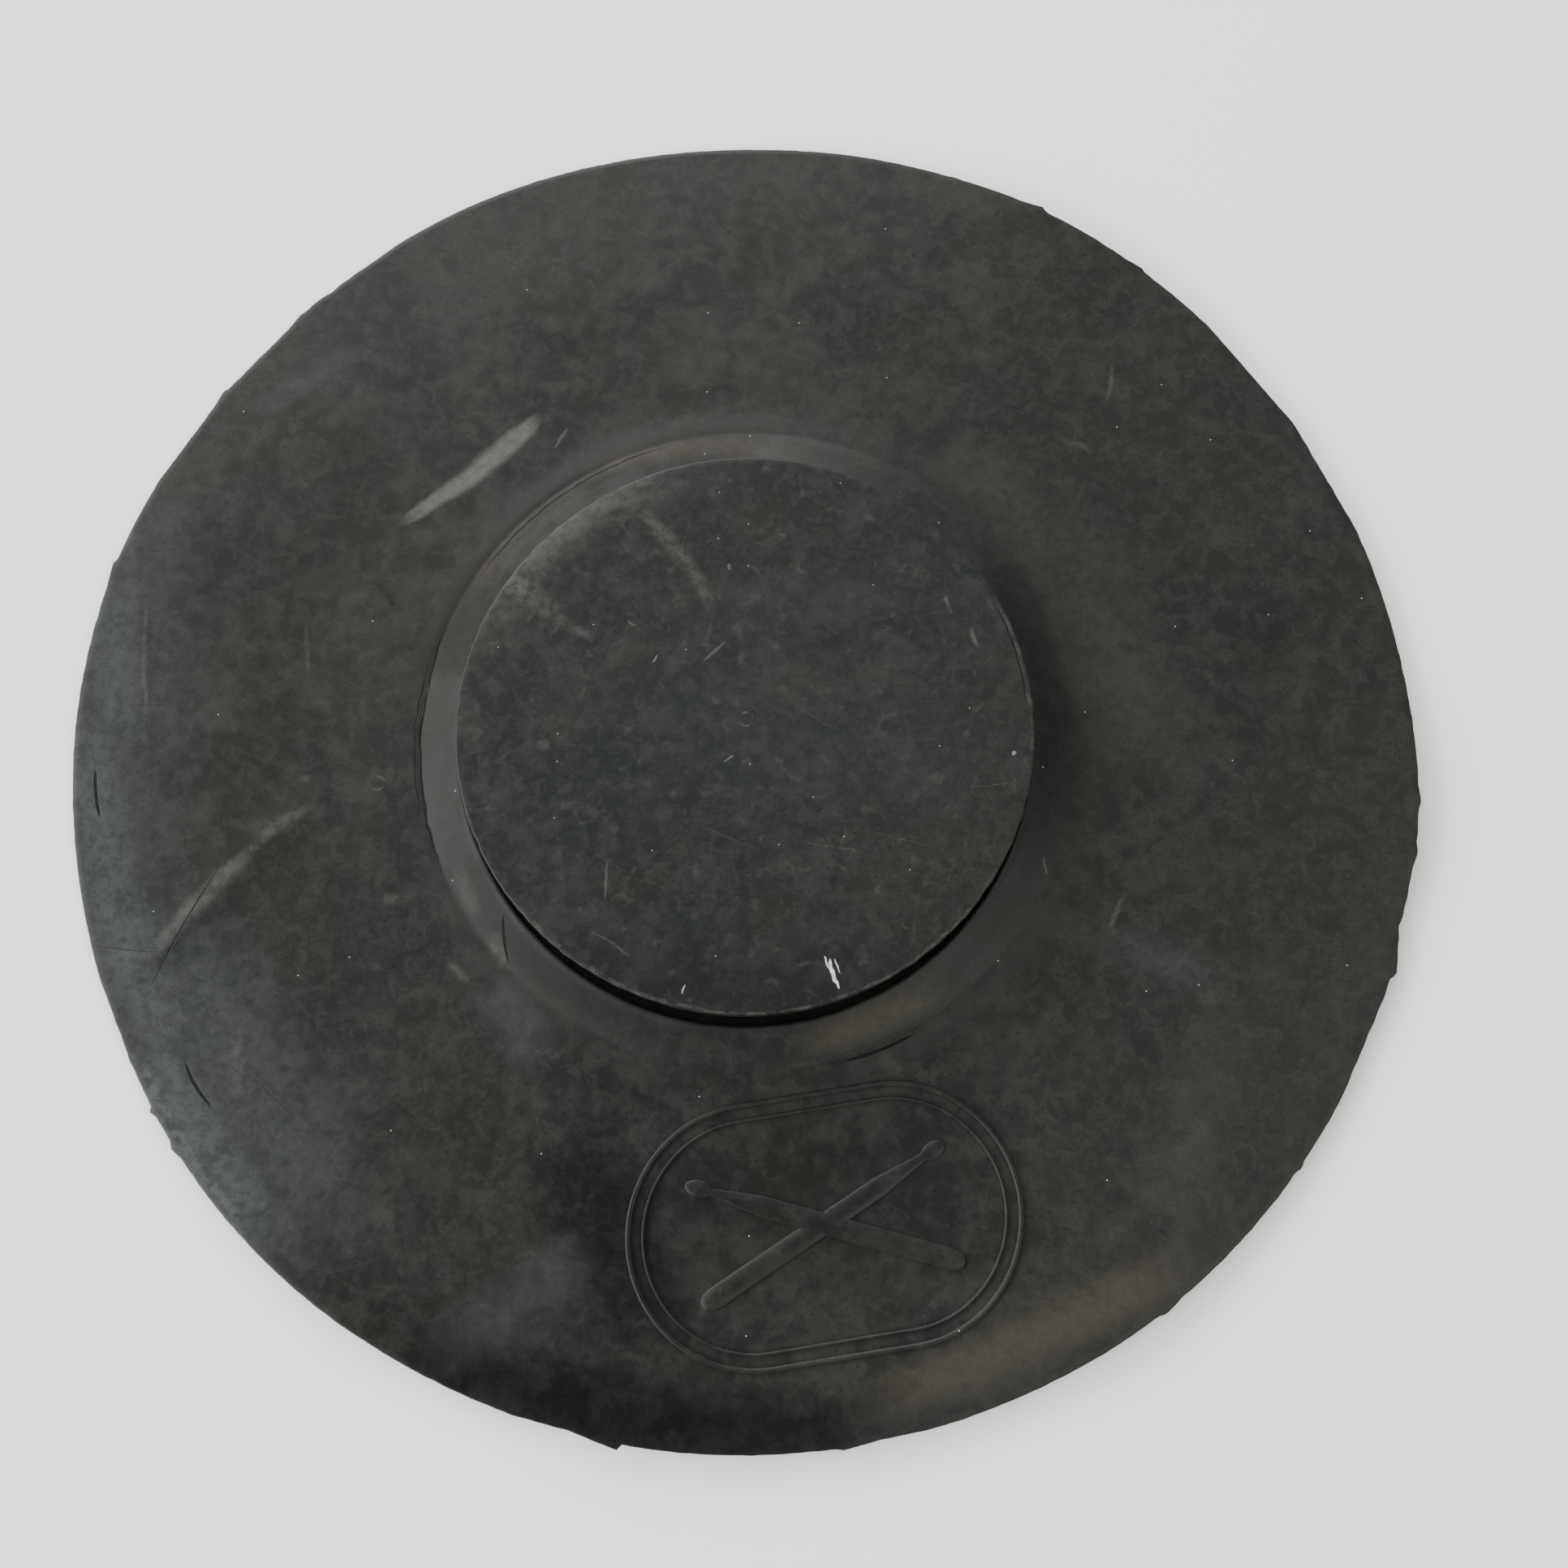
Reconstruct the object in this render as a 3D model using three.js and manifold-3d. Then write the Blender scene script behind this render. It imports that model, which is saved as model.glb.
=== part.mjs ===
// Rubber drum practice pad: a thin moulded rubber sheet with a raised centre, a striking disc
// bonded into a shallow seat there, and a sponge rubber core that fills the hollow under it.
// Millimetres, +Z up. The origin is the middle of the underside, and the raised emblem lies towards -Y.
import * as THREE from "three";
import { mergeVertices } from "three/addons/utils/BufferGeometryUtils.js";
import Module from "manifold-3d";

const wasm = await Module();
wasm.setup();

const INCH = 25.4;
const GAP = 0.3; // clearance kept between neighbouring solids

// Base sheet
const SHEET_RADIUS = 6 * INCH;
const SHEET_THICKNESS = 2.5;

// Raised centre, moulded in one with the sheet
const BOSS_HEIGHT = 12; // striking face above the sheet's upper face
const SKIRT_FOOT_RADIUS = 74.5;
const LIP_DROP = 7.3; // lip round the seat, below the striking face
const LIP_WIDTH = 0.8;
const SEAT_CLEARANCE = 1.2; // mean gap between the lip and the disc
const SEAT_THICKNESS = 2; // rubber under the disc
const HOLLOW_FOOT_INSET = 3; // hollow's foot inside the skirt's
const HOLLOW_HEAD_INSET = 5.5; // hollow's head inside the skirt's foot

// Striking disc
const DISC_RADIUS = 2.5 * INCH;
const DISC_THICKNESS = 9;
const DISC_ROUND = 0.6;

// Emblem raised on the sheet
const EMBLEM_ANGLE = -81; // degrees round the sheet from +X
const EMBLEM_RADIUS = 108; // from the sheet's centre to the emblem's
const EMBLEM_LENGTH = 84;
const EMBLEM_WIDTH = 54;
const EMBLEM_RELIEF = 0.6;
const EMBLEM_RIB = 1.4;
const EMBLEM_SUNK = 0.5; // the emblem's solids start this far inside the sheet, so that they join it
const STICK_LENGTH = 62;
const STICK_WIDTH = 4.6;
const STICK_TILT = 24; // degrees each stick leans from the emblem's long axis
const STICK_SHOULDER = 14; // from the stick's middle to the start of its taper
const STICK_NECK_WIDTH = 2;
const STICK_TIP_LENGTH = 5.6;
const STICK_TIP_WIDTH = 3.8;

const TURN_STEPS = 96;
const OUTLINE_STEPS = 144;
const ARC_STEPS = 3;

const DISC_TOP = SHEET_THICKNESS + BOSS_HEIGHT;
const DISC_UNDERSIDE = DISC_TOP - DISC_THICKNESS;
const LIP_TOP = DISC_TOP - LIP_DROP;
const SEAT_TOP = DISC_UNDERSIDE - GAP;
const SEAT_UNDERSIDE = SEAT_TOP - SEAT_THICKNESS;
const SEAT_RADIUS = DISC_RADIUS + SEAT_CLEARANCE;
const HOLLOW_FOOT_RADIUS = SKIRT_FOOT_RADIUS - HOLLOW_FOOT_INSET;
const HOLLOW_HEAD_RADIUS = SKIRT_FOOT_RADIUS - HOLLOW_HEAD_INSET;

// Where scissors took the moulding flash off the rim in straight snips: the direction of each snip
// in degrees, and how deep it reaches inside the round outline.
const RIM_SNIPS = [
  { angle: 25, depth: 0.7 },
  { angle: 37, depth: 0.8 },
  { angle: 129, depth: 0.4 },
  { angle: 141, depth: 1.0 },
  { angle: 150, depth: 0.8 },
  { angle: 205, depth: 0.3 },
  { angle: 256, depth: 0.4 },
  { angle: 281, depth: 0.3 },
  { angle: 333, depth: 0.5 },
  { angle: 345, depth: 0.5 },
];

const radians = THREE.MathUtils.degToRad;

function solidFrom(geometry) {
  geometry.deleteAttribute("normal");
  geometry.deleteAttribute("uv");
  const merged = mergeVertices(geometry, 1e-4);
  return new wasm.Manifold(
    new wasm.Mesh({
      numProp: 3,
      vertProperties: merged.attributes.position.array,
      triVerts: new Uint32Array(merged.index.array),
    }),
  );
}

function geometryFrom(solid) {
  const mesh = solid.getMesh();
  const geometry = new THREE.BufferGeometry();
  geometry.setAttribute("position", new THREE.BufferAttribute(mesh.vertProperties, 3));
  geometry.setIndex(new THREE.BufferAttribute(mesh.triVerts, 1));
  geometry.computeVertexNormals();
  return geometry;
}

// Points of a quarter round in a lathe profile, centred at (radius, height), from one angle to another.
function profileRound(radius, height, size, fromDegrees, toDegrees) {
  return Array.from({ length: ARC_STEPS + 1 }, (_, i) => {
    const angle = radians(THREE.MathUtils.lerp(fromDegrees, toDegrees, i / ARC_STEPS));
    return new THREE.Vector2(radius + size * Math.cos(angle), height + size * Math.sin(angle));
  });
}

function rimRadius(degrees) {
  const reach = RIM_SNIPS.map(({ angle, depth }) => {
    const facing = Math.cos(radians(degrees - angle));
    return facing > 0 ? (SHEET_RADIUS - depth) / facing : Infinity;
  });
  return Math.min(SHEET_RADIUS, ...reach);
}

// A tall prism of the snipped outline, which trims the lathed sheet.
function rimPrism() {
  const points = Array.from({ length: OUTLINE_STEPS }, (_, i) => {
    const degrees = (360 * i) / OUTLINE_STEPS;
    const radius = rimRadius(degrees);
    return new THREE.Vector2(radius * Math.cos(radians(degrees)), radius * Math.sin(radians(degrees)));
  });
  const prism = new THREE.ExtrudeGeometry(new THREE.Shape(points), {
    depth: 2 * DISC_TOP,
    bevelEnabled: false,
  });
  prism.translate(0, 0, -DISC_TOP / 2);
  return solidFrom(prism);
}

function mouldedSheet() {
  const overhang = 1; // lathed past the rim, then cut back to the snipped outline
  const profile = [
    new THREE.Vector2(0, SEAT_UNDERSIDE),
    new THREE.Vector2(HOLLOW_HEAD_RADIUS, SEAT_UNDERSIDE),
    new THREE.Vector2(HOLLOW_FOOT_RADIUS, 0),
    new THREE.Vector2(SHEET_RADIUS + overhang, 0),
    new THREE.Vector2(SHEET_RADIUS + overhang, SHEET_THICKNESS),
    new THREE.Vector2(SKIRT_FOOT_RADIUS, SHEET_THICKNESS),
    new THREE.Vector2(SEAT_RADIUS + LIP_WIDTH, LIP_TOP),
    new THREE.Vector2(SEAT_RADIUS, LIP_TOP),
    new THREE.Vector2(SEAT_RADIUS, SEAT_TOP),
    new THREE.Vector2(0, SEAT_TOP),
  ];
  return solidFrom(new THREE.LatheGeometry(profile, TURN_STEPS)
    .rotateX(Math.PI / 2));
}

// A stadium outline, length along X.
function stadium(length, width) {
  const radius = width / 2;
  const middle = (length - width) / 2;
  const path = new THREE.Shape();
  path.absarc(middle, 0, radius, -Math.PI / 2, Math.PI / 2);
  path.absarc(-middle, 0, radius, Math.PI / 2, (3 * Math.PI) / 2);
  return path;
}

// A drumstick's outline, butt at the left and a small oval tip at the right.
function stickOutline() {
  const half = STICK_LENGTH / 2;
  const butt = STICK_WIDTH / 2;
  const neck = STICK_NECK_WIDTH / 2;
  const tipMiddle = half - STICK_TIP_LENGTH / 2;
  const path = new THREE.Shape();
  path.absarc(-half + butt, 0, butt, Math.PI / 2, (3 * Math.PI) / 2);
  path.lineTo(STICK_SHOULDER, -butt);
  path.lineTo(half - STICK_TIP_LENGTH, -neck);
  path.absellipse(
    tipMiddle,
    0,
    STICK_TIP_LENGTH / 2,
    STICK_TIP_WIDTH / 2,
    (-3 * Math.PI) / 4,
    (3 * Math.PI) / 4,
  );
  path.lineTo(half - STICK_TIP_LENGTH, neck);
  path.lineTo(STICK_SHOULDER, butt);
  return path;
}

function emblem() {
  const depth = { depth: EMBLEM_RELIEF + EMBLEM_SUNK, bevelEnabled: false, curveSegments: 10 };
  const ring = stadium(EMBLEM_LENGTH, EMBLEM_WIDTH);
  ring.holes.push(stadium(EMBLEM_LENGTH - 2 * EMBLEM_RIB, EMBLEM_WIDTH - 2 * EMBLEM_RIB));
  const sticks = [STICK_TILT, 180 - STICK_TILT].map((tilt) =>
    solidFrom(new THREE.ExtrudeGeometry(stickOutline(), depth)
      .rotateZ(radians(tilt))),
  );
  const middle = radians(EMBLEM_ANGLE);
  return solidFrom(new THREE.ExtrudeGeometry(ring, depth))
    .add(sticks[0])
    .add(sticks[1])
    .rotate([0, 0, EMBLEM_ANGLE + 90])
    .translate([
      EMBLEM_RADIUS * Math.cos(middle),
      EMBLEM_RADIUS * Math.sin(middle),
      SHEET_THICKNESS - EMBLEM_SUNK,
    ]);
}

function baseSheet() {
  return geometryFrom(mouldedSheet()
    .intersect(rimPrism())
    .add(emblem()));
}

function strikingDisc() {
  const profile = [
    new THREE.Vector2(0, DISC_UNDERSIDE),
    new THREE.Vector2(DISC_RADIUS, DISC_UNDERSIDE),
    ...profileRound(DISC_RADIUS - DISC_ROUND, DISC_TOP - DISC_ROUND, DISC_ROUND, 0, 90),
    new THREE.Vector2(0, DISC_TOP),
  ];
  return new THREE.LatheGeometry(profile, TURN_STEPS)
    .rotateX(Math.PI / 2);
}

function core() {
  const profile = [
    new THREE.Vector2(0, 0),
    new THREE.Vector2(HOLLOW_FOOT_RADIUS - GAP, 0),
    new THREE.Vector2(HOLLOW_HEAD_RADIUS - GAP, SEAT_UNDERSIDE - GAP),
    new THREE.Vector2(0, SEAT_UNDERSIDE - GAP),
  ];
  return new THREE.LatheGeometry(profile, TURN_STEPS)
    .rotateX(Math.PI / 2);
}

function addPiece(group, name, geometry, material) {
  const mesh = new THREE.Mesh(geometry, material);
  mesh.name = name;
  group.add(mesh);
}

const pad = new THREE.Group();
addPiece(
  pad,
  "base_sheet",
  baseSheet(),
  new THREE.MeshStandardMaterial({ color: 0x32312e, roughness: 0.55, metalness: 0 }),
);
addPiece(
  pad,
  "striking_disc",
  strikingDisc(),
  new THREE.MeshStandardMaterial({ color: 0x2f2f30, roughness: 0.6, metalness: 0 }),
);
addPiece(
  pad,
  "sponge_core",
  core(),
  new THREE.MeshStandardMaterial({ color: 0x262524, roughness: 0.9, metalness: 0 }),
);

export default pad;
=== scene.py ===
# %% [markdown]
# # A worn rubber drum practice pad
#
# This pad is a thin moulded rubber sheet with a low raised centre and a thicker rubber disc glued
# into it. The engineering model fixes every size, and this notebook gives the pad its looks: the
# sheet's soft waves and hand-snipped rim, the worn striking disc, and rubber that has gone blotchy
# and chalky with age. Everything is in metres and in the engineering model's own frame.

# %% Load the frame
import math

import bmesh
import bpy
from mathutils import Matrix, Vector, noise


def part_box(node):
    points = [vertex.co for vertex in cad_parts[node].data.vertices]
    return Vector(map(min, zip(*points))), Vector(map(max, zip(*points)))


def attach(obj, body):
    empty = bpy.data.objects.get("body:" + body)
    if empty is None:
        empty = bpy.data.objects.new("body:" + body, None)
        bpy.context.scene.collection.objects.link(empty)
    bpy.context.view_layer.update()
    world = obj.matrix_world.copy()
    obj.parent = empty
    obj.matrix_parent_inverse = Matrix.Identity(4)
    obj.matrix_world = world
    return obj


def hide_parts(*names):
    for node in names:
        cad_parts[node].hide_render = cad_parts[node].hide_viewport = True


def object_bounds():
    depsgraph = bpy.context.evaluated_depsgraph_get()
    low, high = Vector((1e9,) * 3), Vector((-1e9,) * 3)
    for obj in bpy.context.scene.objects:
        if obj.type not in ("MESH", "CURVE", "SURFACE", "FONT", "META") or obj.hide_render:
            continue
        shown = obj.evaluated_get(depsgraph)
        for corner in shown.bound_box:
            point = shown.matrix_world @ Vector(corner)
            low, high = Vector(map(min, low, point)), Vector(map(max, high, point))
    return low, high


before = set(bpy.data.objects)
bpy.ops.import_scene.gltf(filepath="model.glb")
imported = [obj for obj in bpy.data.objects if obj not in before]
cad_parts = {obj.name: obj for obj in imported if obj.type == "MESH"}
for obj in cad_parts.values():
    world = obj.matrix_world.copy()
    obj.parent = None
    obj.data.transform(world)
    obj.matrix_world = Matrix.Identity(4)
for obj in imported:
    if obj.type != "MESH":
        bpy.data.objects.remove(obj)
cad_low, cad_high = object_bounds()
MM = 0.001
sheet_low, sheet_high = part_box("base_sheet")
disc_low, disc_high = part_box("striking_disc")
core_low, core_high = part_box("sponge_core")
print("frame box in mm", [round(v / MM, 1) for v in (*cad_low, *cad_high)])

# %% [markdown]
# ## Sizes
#
# The frame gives the outer sizes. The few that it can't give, such as the thickness of the sheet
# under its raised centre, are named here once, so that a change in one place moves everything.

# %% Sizes of the pad
SHEET_RADIUS = sheet_high.x
SHEET_TOP = sheet_low.z + 2.5 * MM
LIP_TOP = sheet_high.z
DISC_RADIUS = disc_high.x
DISC_TOP = disc_high.z
DISC_MIDDLE = (disc_low + disc_high) / 2
CORE_TOP = core_high.z
CORE_RADIUS = core_high.x
CLEARANCE = 0.3 * MM
CORE_HEAD = CORE_RADIUS - 2.5 * MM
SEAT_TOP = disc_low.z - CLEARANCE
SEAT_UNDERSIDE = CORE_TOP + CLEARANCE
SKIRT_FOOT = 74.5 * MM
LIP_RADIUS = DISC_RADIUS + 0.3 * MM
TURN_STEPS = 1024
TURN_DOUBLINGS = 4
TOUCHING = 1e-6  # points closer than this are one point
print("sheet radius", round(SHEET_RADIUS / MM, 2), "disc radius", round(DISC_RADIUS / MM, 2))

# %% [markdown]
# ## Helpers for turned shapes
#
# The sheet, the disc and the core are all round, so each could be a cylinder that is cut and
# bevelled. A turned profile is better here: the profile's points can carry weights, and Blender's
# spin copies those weights round with them, so that later one short rule can open the seat on one
# side or wear the rim on another. Spinning a fine profile all the way round in one go is slow, so
# the helper spins one sixteenth of the turn, and doubles it four times.

# %% Helpers for turned shapes
def smooth(value):
    t = min(max(value, 0.0), 1.0)
    return t * t * (3 - 2 * t)


def bell(distance, width):
    return math.exp(-((distance / width) ** 2))


def turn_between(a, b):
    return (a - b + 180) % 360 - 180


def span(start, end, count):
    """Evenly spaced points after start, up to and including end."""
    shares = [(i + 1) / count for i in range(count)]
    return [tuple(a + (b - a) * share for a, b in zip(start, end)) for share in shares]


def outlined(rows):
    """A profile from rows of (count, *point), with count evenly spaced points up to each row's own."""
    points = [rows[0][1:]]
    for count, *point in rows[1:]:
        points += span(points[-1], point, count)
    return points


def turned(points, steps):
    """Turns profile points (radius, height, weight) into a closed bmesh with the weight on a layer."""
    bm = bmesh.new()
    weight = bm.verts.layers.float.new("weight")
    verts = []
    for radius, height, amount in points:
        vert = bm.verts.new((radius, 0.0, height))
        vert[weight] = amount
        verts.append(vert)
    edges = [bm.edges.new(pair) for pair in zip(verts, verts[1:])]
    sector = 2 * math.pi / 2 ** TURN_DOUBLINGS
    bmesh.ops.spin(bm, geom=verts + edges, cent=(0, 0, 0), axis=(0, 0, 1),
                   angle=sector, steps=steps // 2 ** TURN_DOUBLINGS)
    for doubling in range(TURN_DOUBLINGS):
        copy = bmesh.ops.duplicate(bm, geom=bm.verts[:] + bm.edges[:] + bm.faces[:])["geom"]
        moved = [item for item in copy if isinstance(item, bmesh.types.BMVert)]
        bmesh.ops.rotate(bm, verts=moved, cent=(0, 0, 0),
                         matrix=Matrix.Rotation(sector * 2 ** doubling, 3, "Z"))
    bmesh.ops.remove_doubles(bm, verts=bm.verts, dist=TOUCHING)
    bmesh.ops.recalc_face_normals(bm, faces=bm.faces)
    return bm, weight


def finished(bm, name, node):
    """Turns a bmesh into a smooth-shaded piece that rides on the pad and stands for a CAD node."""
    mesh = bpy.data.meshes.new(name)
    bm.to_mesh(mesh)
    bm.free()
    mesh.shade_smooth()
    piece = bpy.data.objects.new(name, mesh)
    bpy.context.scene.collection.objects.link(piece)
    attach(piece, "root")
    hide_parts(node)
    print(name, len(mesh.vertices), "vertices", len(mesh.polygons), "faces")
    return piece


print("one turned step in degrees", 360 / TURN_STEPS)


# %% [markdown]
# ## How the sheet lies
#
# A thin rubber sheet never lies dead flat: its rim lifts where it was rolled or hung, and shallow
# folds run across it. A cloth simulation could find such a shape, but it would also move the sheet
# away from its real size. A few named lifts and folds, added as heights, keep the size and can be
# placed one by one. The same height is used for the upper face and the underside, so the sheet
# keeps its thickness everywhere.

# %% Lifts, folds and the lie of the sheet
RIM_LIFTS = [  # direction in degrees, spread in degrees, height
    (170, 20, 3.2 * MM),
    (62, 15, 1.8 * MM),
    (354, 9, 1.7 * MM),
    (229, 12, 1.4 * MM),
    (118, 12, 0.7 * MM),
    (303, 14, 0.9 * MM),
    (262, 10, 0.8 * MM),
]
FOLDS = [  # from, to, width, height
    ((-135 * MM, -52 * MM), (-97 * MM, -14 * MM), 5.5 * MM, 0.42 * MM),
    ((-126 * MM, -86 * MM), (-84 * MM, -124 * MM), 6 * MM, 0.5 * MM),
    ((22 * MM, -143 * MM), (92 * MM, -108 * MM), 9 * MM, 1.1 * MM),
    ((-74 * MM, -112 * MM), (-36 * MM, -130 * MM), 7 * MM, 0.9 * MM),
    ((-142 * MM, 46 * MM), (-138 * MM, 16 * MM), 1.6 * MM, 0.3 * MM),
]
STILL_RADIUS = 82 * MM  # inside this the raised centre keeps the sheet flat
LIFT_EASE = 1.5
RIPPLE_SIZE = 34 * MM
RIPPLE_HEIGHT = 0.55 * MM
RIPPLE_EASE = 2.5


def distance_to_line(x, y, start, end):
    along = Vector((end[0] - start[0], end[1] - start[1]))
    offset = Vector((x - start[0], y - start[1]))
    share = min(max(offset.dot(along) / along.length_squared, 0.0), 1.0)
    return (offset - along * share).length


def lie(x, y):
    """Height of the sheet above where it would lie if it were flat."""
    radius = math.hypot(x, y)
    loose = smooth((radius - STILL_RADIUS) / (SHEET_RADIUS - STILL_RADIUS))
    if loose == 0:
        return 0.0
    direction = math.degrees(math.atan2(y, x))
    lift = sum(height * bell(turn_between(direction, middle), spread)
               for middle, spread, height in RIM_LIFTS)
    fold = sum(height * bell(distance_to_line(x, y, start, end), width)
               for start, end, width, height in FOLDS)
    ripple = RIPPLE_HEIGHT * (0.5 + noise.noise(Vector((x, y, 0.0)) / RIPPLE_SIZE))
    return lift * loose ** LIFT_EASE + (fold + max(ripple, 0.0)) * min(RIPPLE_EASE * loose, 1.0)


round_the_rim = [math.radians(angle) for angle in range(360)]
rim_lie = [lie(SHEET_RADIUS * math.cos(angle), SHEET_RADIUS * math.sin(angle)) for angle in round_the_rim]
print("highest point of the rim in mm", round(max(rim_lie) / MM, 2))

# %% [markdown]
# ## The rim
#
# The sheet came out of its mould with flash round the rim, and somebody took it off with scissors.
# Straight snips leave shallow flats, and where two snips meet there is a small step, nick or tag.
# Cutting each one with a boolean would be slow and fragile. Instead a function says how far the rim
# stands at each direction, and the outer rings of the sheet follow it.

# %% How far the rim stands
SNIPS = [  # direction in degrees, depth
    (25, 0.7 * MM), (37, 0.8 * MM), (129, 0.4 * MM), (141, 1.0 * MM), (150, 0.8 * MM),
    (205, 0.3 * MM), (256, 0.4 * MM), (281, 0.3 * MM), (333, 0.5 * MM), (345, 0.5 * MM),
]
TAGS = [  # direction, spread before it, spread after it (degrees), how far it stands out
    (164.4, 0.3, 2.5, 0.7 * MM),
    (213.2, 0.5, 0.3, 1.1 * MM),
    (216.4, 0.3, 1.2, 0.8 * MM),
    (260.2, 4.0, 0.25, 1.2 * MM),
    (277.6, 0.3, 3.0, 0.5 * MM),
    (305.3, 0.4, 2.0, 0.6 * MM),
    (321.5, 0.6, 0.4, 0.5 * MM),
    (339.4, 0.35, 2.8, 1.0 * MM),
    (343.5, 1.0, 1.0, -0.6 * MM),
    (350.0, 1.2, 0.9, 0.5 * MM),
    (354.5, 0.8, 1.2, 0.6 * MM),
    (50.9, 0.3, 1.8, 0.5 * MM),
    (61.7, 0.25, 2.2, 0.9 * MM),
    (132.5, 1.2, 1.2, -0.5 * MM),
    (136.0, 0.8, 1.6, 0.45 * MM),
    (146.0, 0.4, 1.5, 0.5 * MM),
]
RAGGED = 0.16 * MM
RAGGED_RATE = 0.9  # how fast the raggedness changes, for each degree
SNIP_FACING = 0.9  # a snip's flat can't reach further round than this cosine
SNIP_REACH = 15 * MM  # the snips' flats fade out this far inside the rim
TAG_REACH = 2.5 * MM


def snip_depth(direction):
    depth = 0.0
    for middle, cut in SNIPS:
        facing = math.cos(math.radians(turn_between(direction, middle)))
        if facing > SNIP_FACING:
            depth = max(depth, SHEET_RADIUS - (SHEET_RADIUS - cut) / facing)
    return depth


def tag_reach(direction):
    reach = RAGGED * noise.noise(Vector((direction * RAGGED_RATE, 0.0, 4.0)))
    for middle, before, after, amount in TAGS:
        away = turn_between(direction, middle)
        reach += amount * max(0.0, 1 + away / before if away < 0 else 1 - away / after)
    return reach


stands = [tag_reach(angle) - snip_depth(angle) for angle in range(360)]
print("the rim stands from", round(min(stands) / MM, 2), "to", round(max(stands) / MM, 2), "mm")

# %% [markdown]
# ## The moulded sheet
#
# One profile holds the whole sheet: the seat under the striking disc, the lip round it, the sloped
# skirt, the flat flange, the rim, the underside and the hollow for the core. The weights say which
# points follow the lip. The disc was glued in a little off centre, so the seat is open towards the
# emblem and tight on the far side. Modelling that by hand would mean pulling at points until it
# looked right. Instead the rules are written first: each gives an amount for a direction.

# %% Rules for the seat, the lip and the foot of the skirt
SEAT_OPENING = 1.5 * MM
OPEN_EASE = 2.2
OPEN_TOWARDS = -93  # degrees, as are the other directions below
WORN_TOWARDS = 132
WORN_SPREAD = 24
WORN_LIP_RISE = 1.6 * MM
BULGE_TOWARDS = 184
BULGE_SPREAD = 42
BULGE = 0.9 * MM
RIM_ROUND = 0.45 * MM
LIP_DROP_OPEN = 0.9 * MM
CRISP_TOWARDS = 180
CRISP_SPREAD = 38
FOOT_FILL = 1.1 * MM
FOOT_REACH = 5.2 * MM
CREASES = [  # direction, spread, depth
    (126, 24, 0.22 * MM),
    (180, 20, 0.3 * MM),
    (-67, 9, 0.55 * MM),
]
CREASE_REACH = 0.3 * MM


def seat_gap(direction):
    facing = math.cos(math.radians(turn_between(direction, OPEN_TOWARDS)))
    return SEAT_OPENING * max(0.0, facing) ** OPEN_EASE


def bulge(direction):
    """How far the disc and its seat are squeezed out towards one side."""
    return BULGE * bell(turn_between(direction, BULGE_TOWARDS), BULGE_SPREAD)


def worn(direction):
    return bell(turn_between(direction, WORN_TOWARDS), WORN_SPREAD)


def foot_change(direction, radius):
    """The skirt's foot is crisp on one side and flows into the sheet elsewhere. Creases run along it."""
    flowing = 1 - bell(turn_between(direction, CRISP_TOWARDS), CRISP_SPREAD)
    crease = sum(depth * bell(turn_between(direction, middle), spread)
                 for middle, spread, depth in CREASES)
    filled = FOOT_FILL * flowing * bell(radius - SKIRT_FOOT + 0.5 * MM, FOOT_REACH)
    return filled - crease * bell(radius - SKIRT_FOOT - 0.25 * MM, CREASE_REACH)


print("the seat is open by up to", round(max(seat_gap(angle) for angle in range(360)) / MM, 2), "mm")

# %% [markdown]
# ## Turning the sheet
#
# The profile starts in the middle of the seat, goes out over the lip, skirt, flange and rim, and
# comes back along the underside to the middle of the hollow. The skirt ends in a gentle foot rather
# than a sharp corner, because a corner would catch the light as a bright line. The mesh is turned
# round first, and then every point is moved by the rules.

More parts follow.
